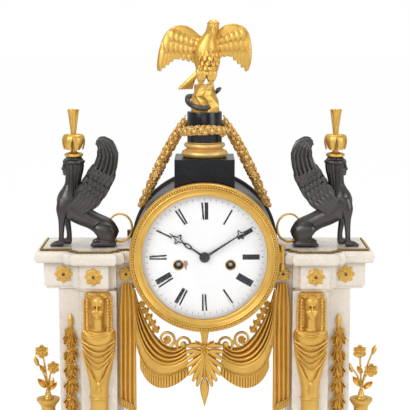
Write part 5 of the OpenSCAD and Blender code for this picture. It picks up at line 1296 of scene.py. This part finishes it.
# a row of feathers: count, first and last root, first and last tip, bulge, half width, distance in front
for stations, rows in wings:
    eagle_parts.append(limb([(x, 1.5, z, w, 2.6) for x, z, w in stations], 24))
    for count, first, last, first_tip, last_tip, bulge, width, front in rows:
        for k in range(count):
            f = k / (count - 1)
            a, b = Vector(first).lerp(Vector(last), f), Vector(first_tip).lerp(Vector(last_tip), f)
            mid = a.lerp(b, 0.5) + Vector((bulge * (1 - 0.6 * f), 2.4))
            line = [(a.x, 1.6, a.y), (mid.x, front - 0.6, mid.y), (b.x, front + 0.3, b.y)]
            eagle_parts.append(plume(line, width, rise=0.7, thick=0.9))
for k in range(6):
    eagle_parts.append(plume([(-1, 5.4, 16), (-9 - 0.8 * k, 6.6, 8), (-25 + 2.5 * k, 8.4 + 0.3 * k, -5.2)], 2.4))
for row in range(7):
    z = 13 + 4.4 * row
    reach = 10.8 * math.sin(math.radians(38 + 19 * row)) + 0.5
    for k in range(5):
        a = math.radians(-60 + 30 * k + 15 * (row % 2))
        x, y = 2.6 + 0.95 * reach * math.sin(a), -0.86 * reach * math.cos(a)
        line = [(x, y + 0.9, z + 3), (x * 1.03, y - 1.3, z), (x * 1.05, y - 2.2, z - 4)]
        eagle_parts.append(plume(line, 2.6, (math.sin(a), -math.cos(a), 0.1), 0.8, 0.8))
for s in (1, -1):
    foot = 4.6 * s + 1
    eagle_parts.append(limb([(s * 5.4 + 2, -2.4, 20, 5.2, 5.2), (s * 5 + 2, -4, 10, 5.0, 5.0),
                             (s * 4.7 + 1.4, -3.4, 4.6, 3.8, 3.8), (foot, -2.8, 1.6, 2.4, 2.6)], 18))
    for k in range(4):
        off = k - 1.5
        line = [(s * 5 + 2 + 2.6 * off, -6.4, 14 - k % 2), (s * 5 + 2 + 2.2 * off, -8.4, 10),
                (s * 4.8 + 1.6 + 1.6 * off, -6.4, 4)]
        eagle_parts.append(plume(line, 1.5, rise=0.6))
    for t in (-1, 0, 1):
        eagle_parts.append(limb([(foot, -2.6, 1.5, 1.2, 1.2), (foot + 1.3 * t, -5, 2.0, 1.1, 1.2),
                                 (foot + 2.2 * t, -7 + abs(t), 1.0, 0.9, 0.9),
                                 (foot + 2.4 * t, -8 + abs(t), 0.25, 0.2, 0.2)], 10))
    spur = [(foot, -2.4, 1.5, 1.2, 1.2), (foot, 0.2, 1.6, 1.0, 1.0), (foot, 2.4, 0.4, 0.3, 0.3)]
    eagle_parts.append(limb(spur, 10))
eagle = cast(eagle_parts, 0.36)
eagle.data.transform(at(0, 0, perch))
settle(eagle, "gilt_eagle", "case", gilt, "gilt_bronze", "eagle")

# Sphinxes
# Two winged sphinxes of dark patinated bronze are screwed to the decks and look outwards, each cast in one: deep
# chest, straight strands of hair under a band, raised wings with long ridges above rows of short feathers.
sphinx_spot = (115.7, -8, 273.5)
stride = 6
trunk = [limb([(-27.5, 0, 9, 5, 6.5), (-21, 0, 16.4, 8.6, 10.4), (-9, 0, 24, 8.8, 9), (3, 0, 30, 9.2, 10),
               (13, 0, 37, 9.6, 11), (17, 0, 41, 8, 8)], 32, (0, 0, 1)),
         limb([(13.4, 0, 27, 8, 5.6), (15.4, 0, 35, 9.8, 9), (16, 0, 43, 10.4, 10.6), (15.6, 0, 49.4, 9.6, 9.4),
               (14.8, 0, 55.4, 7, 6.2), (14, 0, 61, 4.8, 4.4), (13.6, 0, 68, 4.6, 4.4)], 32, (1, 0, 0))]
sphinx_parts = [
    limb([(10, 0, 45.4, 9, 6.4), (10.2, 0, 56, 9.6, 7), (9.8, 0, 66, 9.6, 7.8), (9.2, 0, 75, 9.6, 9.4),
          (9.4, 0, 82, 8.8, 9.6), (9.4, 0, 86.6, 6.6, 7.4)],
         112, (1, 0, 0), flutes=18, flute=0.15),
    limb([(9.4, 0, 80.2, 9.2, 9.8), (9.4, 0, 80.9, 10, 10.5), (9.4, 0, 82.7, 9.8, 10.4), (9.4, 0, 83.4, 8.8, 9.4)],
         48, (1, 0, 0), 2),
]
head = calm_face(17.6)
head.data.transform(at(13.9, 0, 68.2) @ turned(90, "Z"))
sphinx_parts.append(head)
for s in (1, -1):
    back = stride if s > 0 else 0
    trunk += [
        limb([(17.6, s * 6.6, 46, 4, 6.4), (20.4 - 0.2 * back, s * 7.4, 37, 4.4, 6.2),
              (21 - back / 2, s * 7.4, 26, 3.7, 3.7), (21.8 - back, s * 7, 12, 2.8, 2.6),
              (22 - back, s * 7, 2, 3, 3)], 20, (1, 0, 0)),
        limb([(19.6 - back, s * 7, 2.6, 2.8, 2.6), (25 - back, s * 7, 3.2, 3.6, 3), (30 - back, s * 7, 2.2, 3.4, 2),
              (32.4 - back, s * 7, 1.2, 1.6, 1)], 16, (0, 0, 1)),
        limb([(-29.4, s * 7.4, 7.6, 3, 6), (-25, s * 8.4, 10.8, 4.4, 9.6), (-19, s * 9, 14.4, 4.8, 9.8),
              (-13.4, s * 9.4, 16.4, 4.2, 6.8), (-9.8, s * 9.4, 16, 2.4, 3.2)], 24, (0, 0, 1)),
        limb([(-30.6, s * 10, 2.6, 2, 2), (-24, s * 10, 3.2, 3.4, 3.2), (-13, s * 10, 3.2, 3.6, 3.2),
              (-8.4, s * 10, 2.4, 3.4, 2.2), (-6.4, s * 10, 1.4, 1.6, 1)], 16, (0, 0, 1)),
    ]
    paws = ((30.6 - back, 7), (-8.6, 10))
    toes = [at(x, s * y + 1.75 * (k - 1.5), 2) for k in range(4) for x, y in paws]
    sphinx_parts.append(strewn(ball(1.25, 12, 8, (1.7, 1, 1.1)), toes))
spine = [(11, 34, 7.4), (-4.3, 48.4, 12.4), (-10.3, 57.5, 12.6), (-15.7, 66.4, 12.2), (-20.4, 77, 10.8),
         (-22.8, 87, 9.8), (-21, 95.6, 8.2), (-17.2, 100.6, 5), (-12.8, 101.8, 1.8)]
wing_runs = len(spine) - 1
blade = [(x, -9 - 0.25 * k + 3.4 * (k == 0), z, w, 2.8 - 0.12 * k) for k, (x, z, w) in enumerate(spine)]
wing = [limb(blade, 28, fine=8)]


def on_wing(f, share):
    """Point of the wing at a share of its length, off its middle line by a share of its half width."""
    k = min(int(f * wing_runs), wing_runs - 1)
    (x0, z0, w0), (x1, z1, w1) = spine[k], spine[k + 1]
    t, run = f * wing_runs - k, Vector(spine[min(k + 2, wing_runs)][:2]) - Vector(spine[max(k - 1, 0)][:2])
    off = Vector((run.y, -run.x)).normalized() * (w0 + (w1 - w0) * t) * share
    return Vector((x0 + (x1 - x0) * t + off.x, z0 + (z1 - z0) * t + off.y))


for share in (-0.86, -0.5, -0.12, 0.28, 0.66):
    quill = [on_wing(0.34 + 0.64 * i / 20, share) for i in range(21)]
    wing.append(tube([(p.x, -12.2, p.y) for p in quill], [2.0 - 1.0 * i / 20 for i in range(21)], 3))
for row in range(6):
    sunk = 2.8 * max(0, 1 - row / 1.6)
    for k in range(5 + row % 2):
        share = (k - 2 - 0.5 * (row % 2)) / 2.8
        a, b, c = (on_wing(0.02 + 0.065 * row + d, share) for d in (0, 0.065, 0.115))
        line = [(a.x, -10.6 + sunk, a.y), (b.x, -12.6 + 0.7 * sunk, b.y), (c.x, -13.6 + 0.4 * sunk, c.y)]
        wing.append(plume(line, 2.8, rise=0.9, thick=0.9, blunt=0.4))
wing = joined(wing)
pick(wing)
bpy.ops.object.duplicate()
far_wing = bpy.context.object
far_wing.data.transform(Matrix.Scale(-1, 4, (0, 1, 0)))
figure = joined([cast(trunk, 0.55, 8)] + sphinx_parts + [wing, true_faces(far_wing)])
for corner in figure.data.vertices:
    corner.co.z = max(corner.co.z, 0)
figure = cast([figure], 0.36)
figure.data.transform(at(*sphinx_spot))
pair(figure, "bronze_", "sphinx", patina, "dark_bronze")

# Crowns and tails of the sphinxes
# Gilt crowns with a ring of drooping leaves under a fluted trumpet are pegged into the heads. The thin tails are
# bent from gilt wire and curl up behind the rumps.
crown_spot = (sphinx_spot[0] + 9.5, sphinx_spot[1], sphinx_spot[2] + 86.6)
trumpet = upright([(7.6, 0, 0), (8.6, 0.4, 0), (8.9, 1, 0), (8.9, 2.4, 0), (8.5, 3, 0), (7.4, 3.4, 0),
                   (3.6, 4.2, 0), (2.7, 6, 0), (2.3, 12, 0), (2.4, 20, 0),
                   (2.7, 23, 0.1), (3.6, 30, 0.12), (4.6, 38, 0.12), (5.5, 44, 0.08), (5.7, 44.6, 0), (5.5, 45, 0),
                   (4.8, 45, 0), (3, 36, 0)], crown_spot)
droop_line = [(2.2, 15.5), (6.6, 26), (13.2, 20), (8.6, 7)]


def droop(u, v):
    """Leaf that rises from the stem, bends over and hangs."""
    side, p = 2 * u - 1, bend(droop_line, v)
    half = 5.2 * math.sin(math.pi * (0.12 + 0.8 * v)) ** 0.6
    return p.x - 0.14 * half * side * side + 0.5 * (1 - abs(side)), half * side, p.y


leaves = strewn(sheet(droop, 12, 20, 0.8), [at(*crown_spot) @ turned(60 * i, "Z") for i in range(6)])
crown = joined([trumpet, leaves])
settle(smooth(joined([crown, mirrored(crown)]), 50), "gilt_crowns", "case", gilt, "gilt_bronze", "sphinx_ornaments")
curl_x, curl_z, curl_wide, curl_high = 81.48, 291, 11.5, 13.5
tail_line = [(sphinx_spot[0] - x, sphinx_spot[1], sphinx_spot[2] + z) for x, z in ((25.2, 8.7), (28, 5.2))]
for i in range(49):
    a = math.radians(-75 - 245 * i / 48)
    tail_line.append((curl_x + curl_wide * math.cos(a), sphinx_spot[1], curl_z + curl_high * math.sin(a)))
tail = tube(tail_line, [1.3] * 3 + [1.3 - 0.4 * i / 47 for i in range(48)], 3)
settle(joined([tail, mirrored(tail)]), "gilt_tails", "case", gilt, "gilt_bronze")
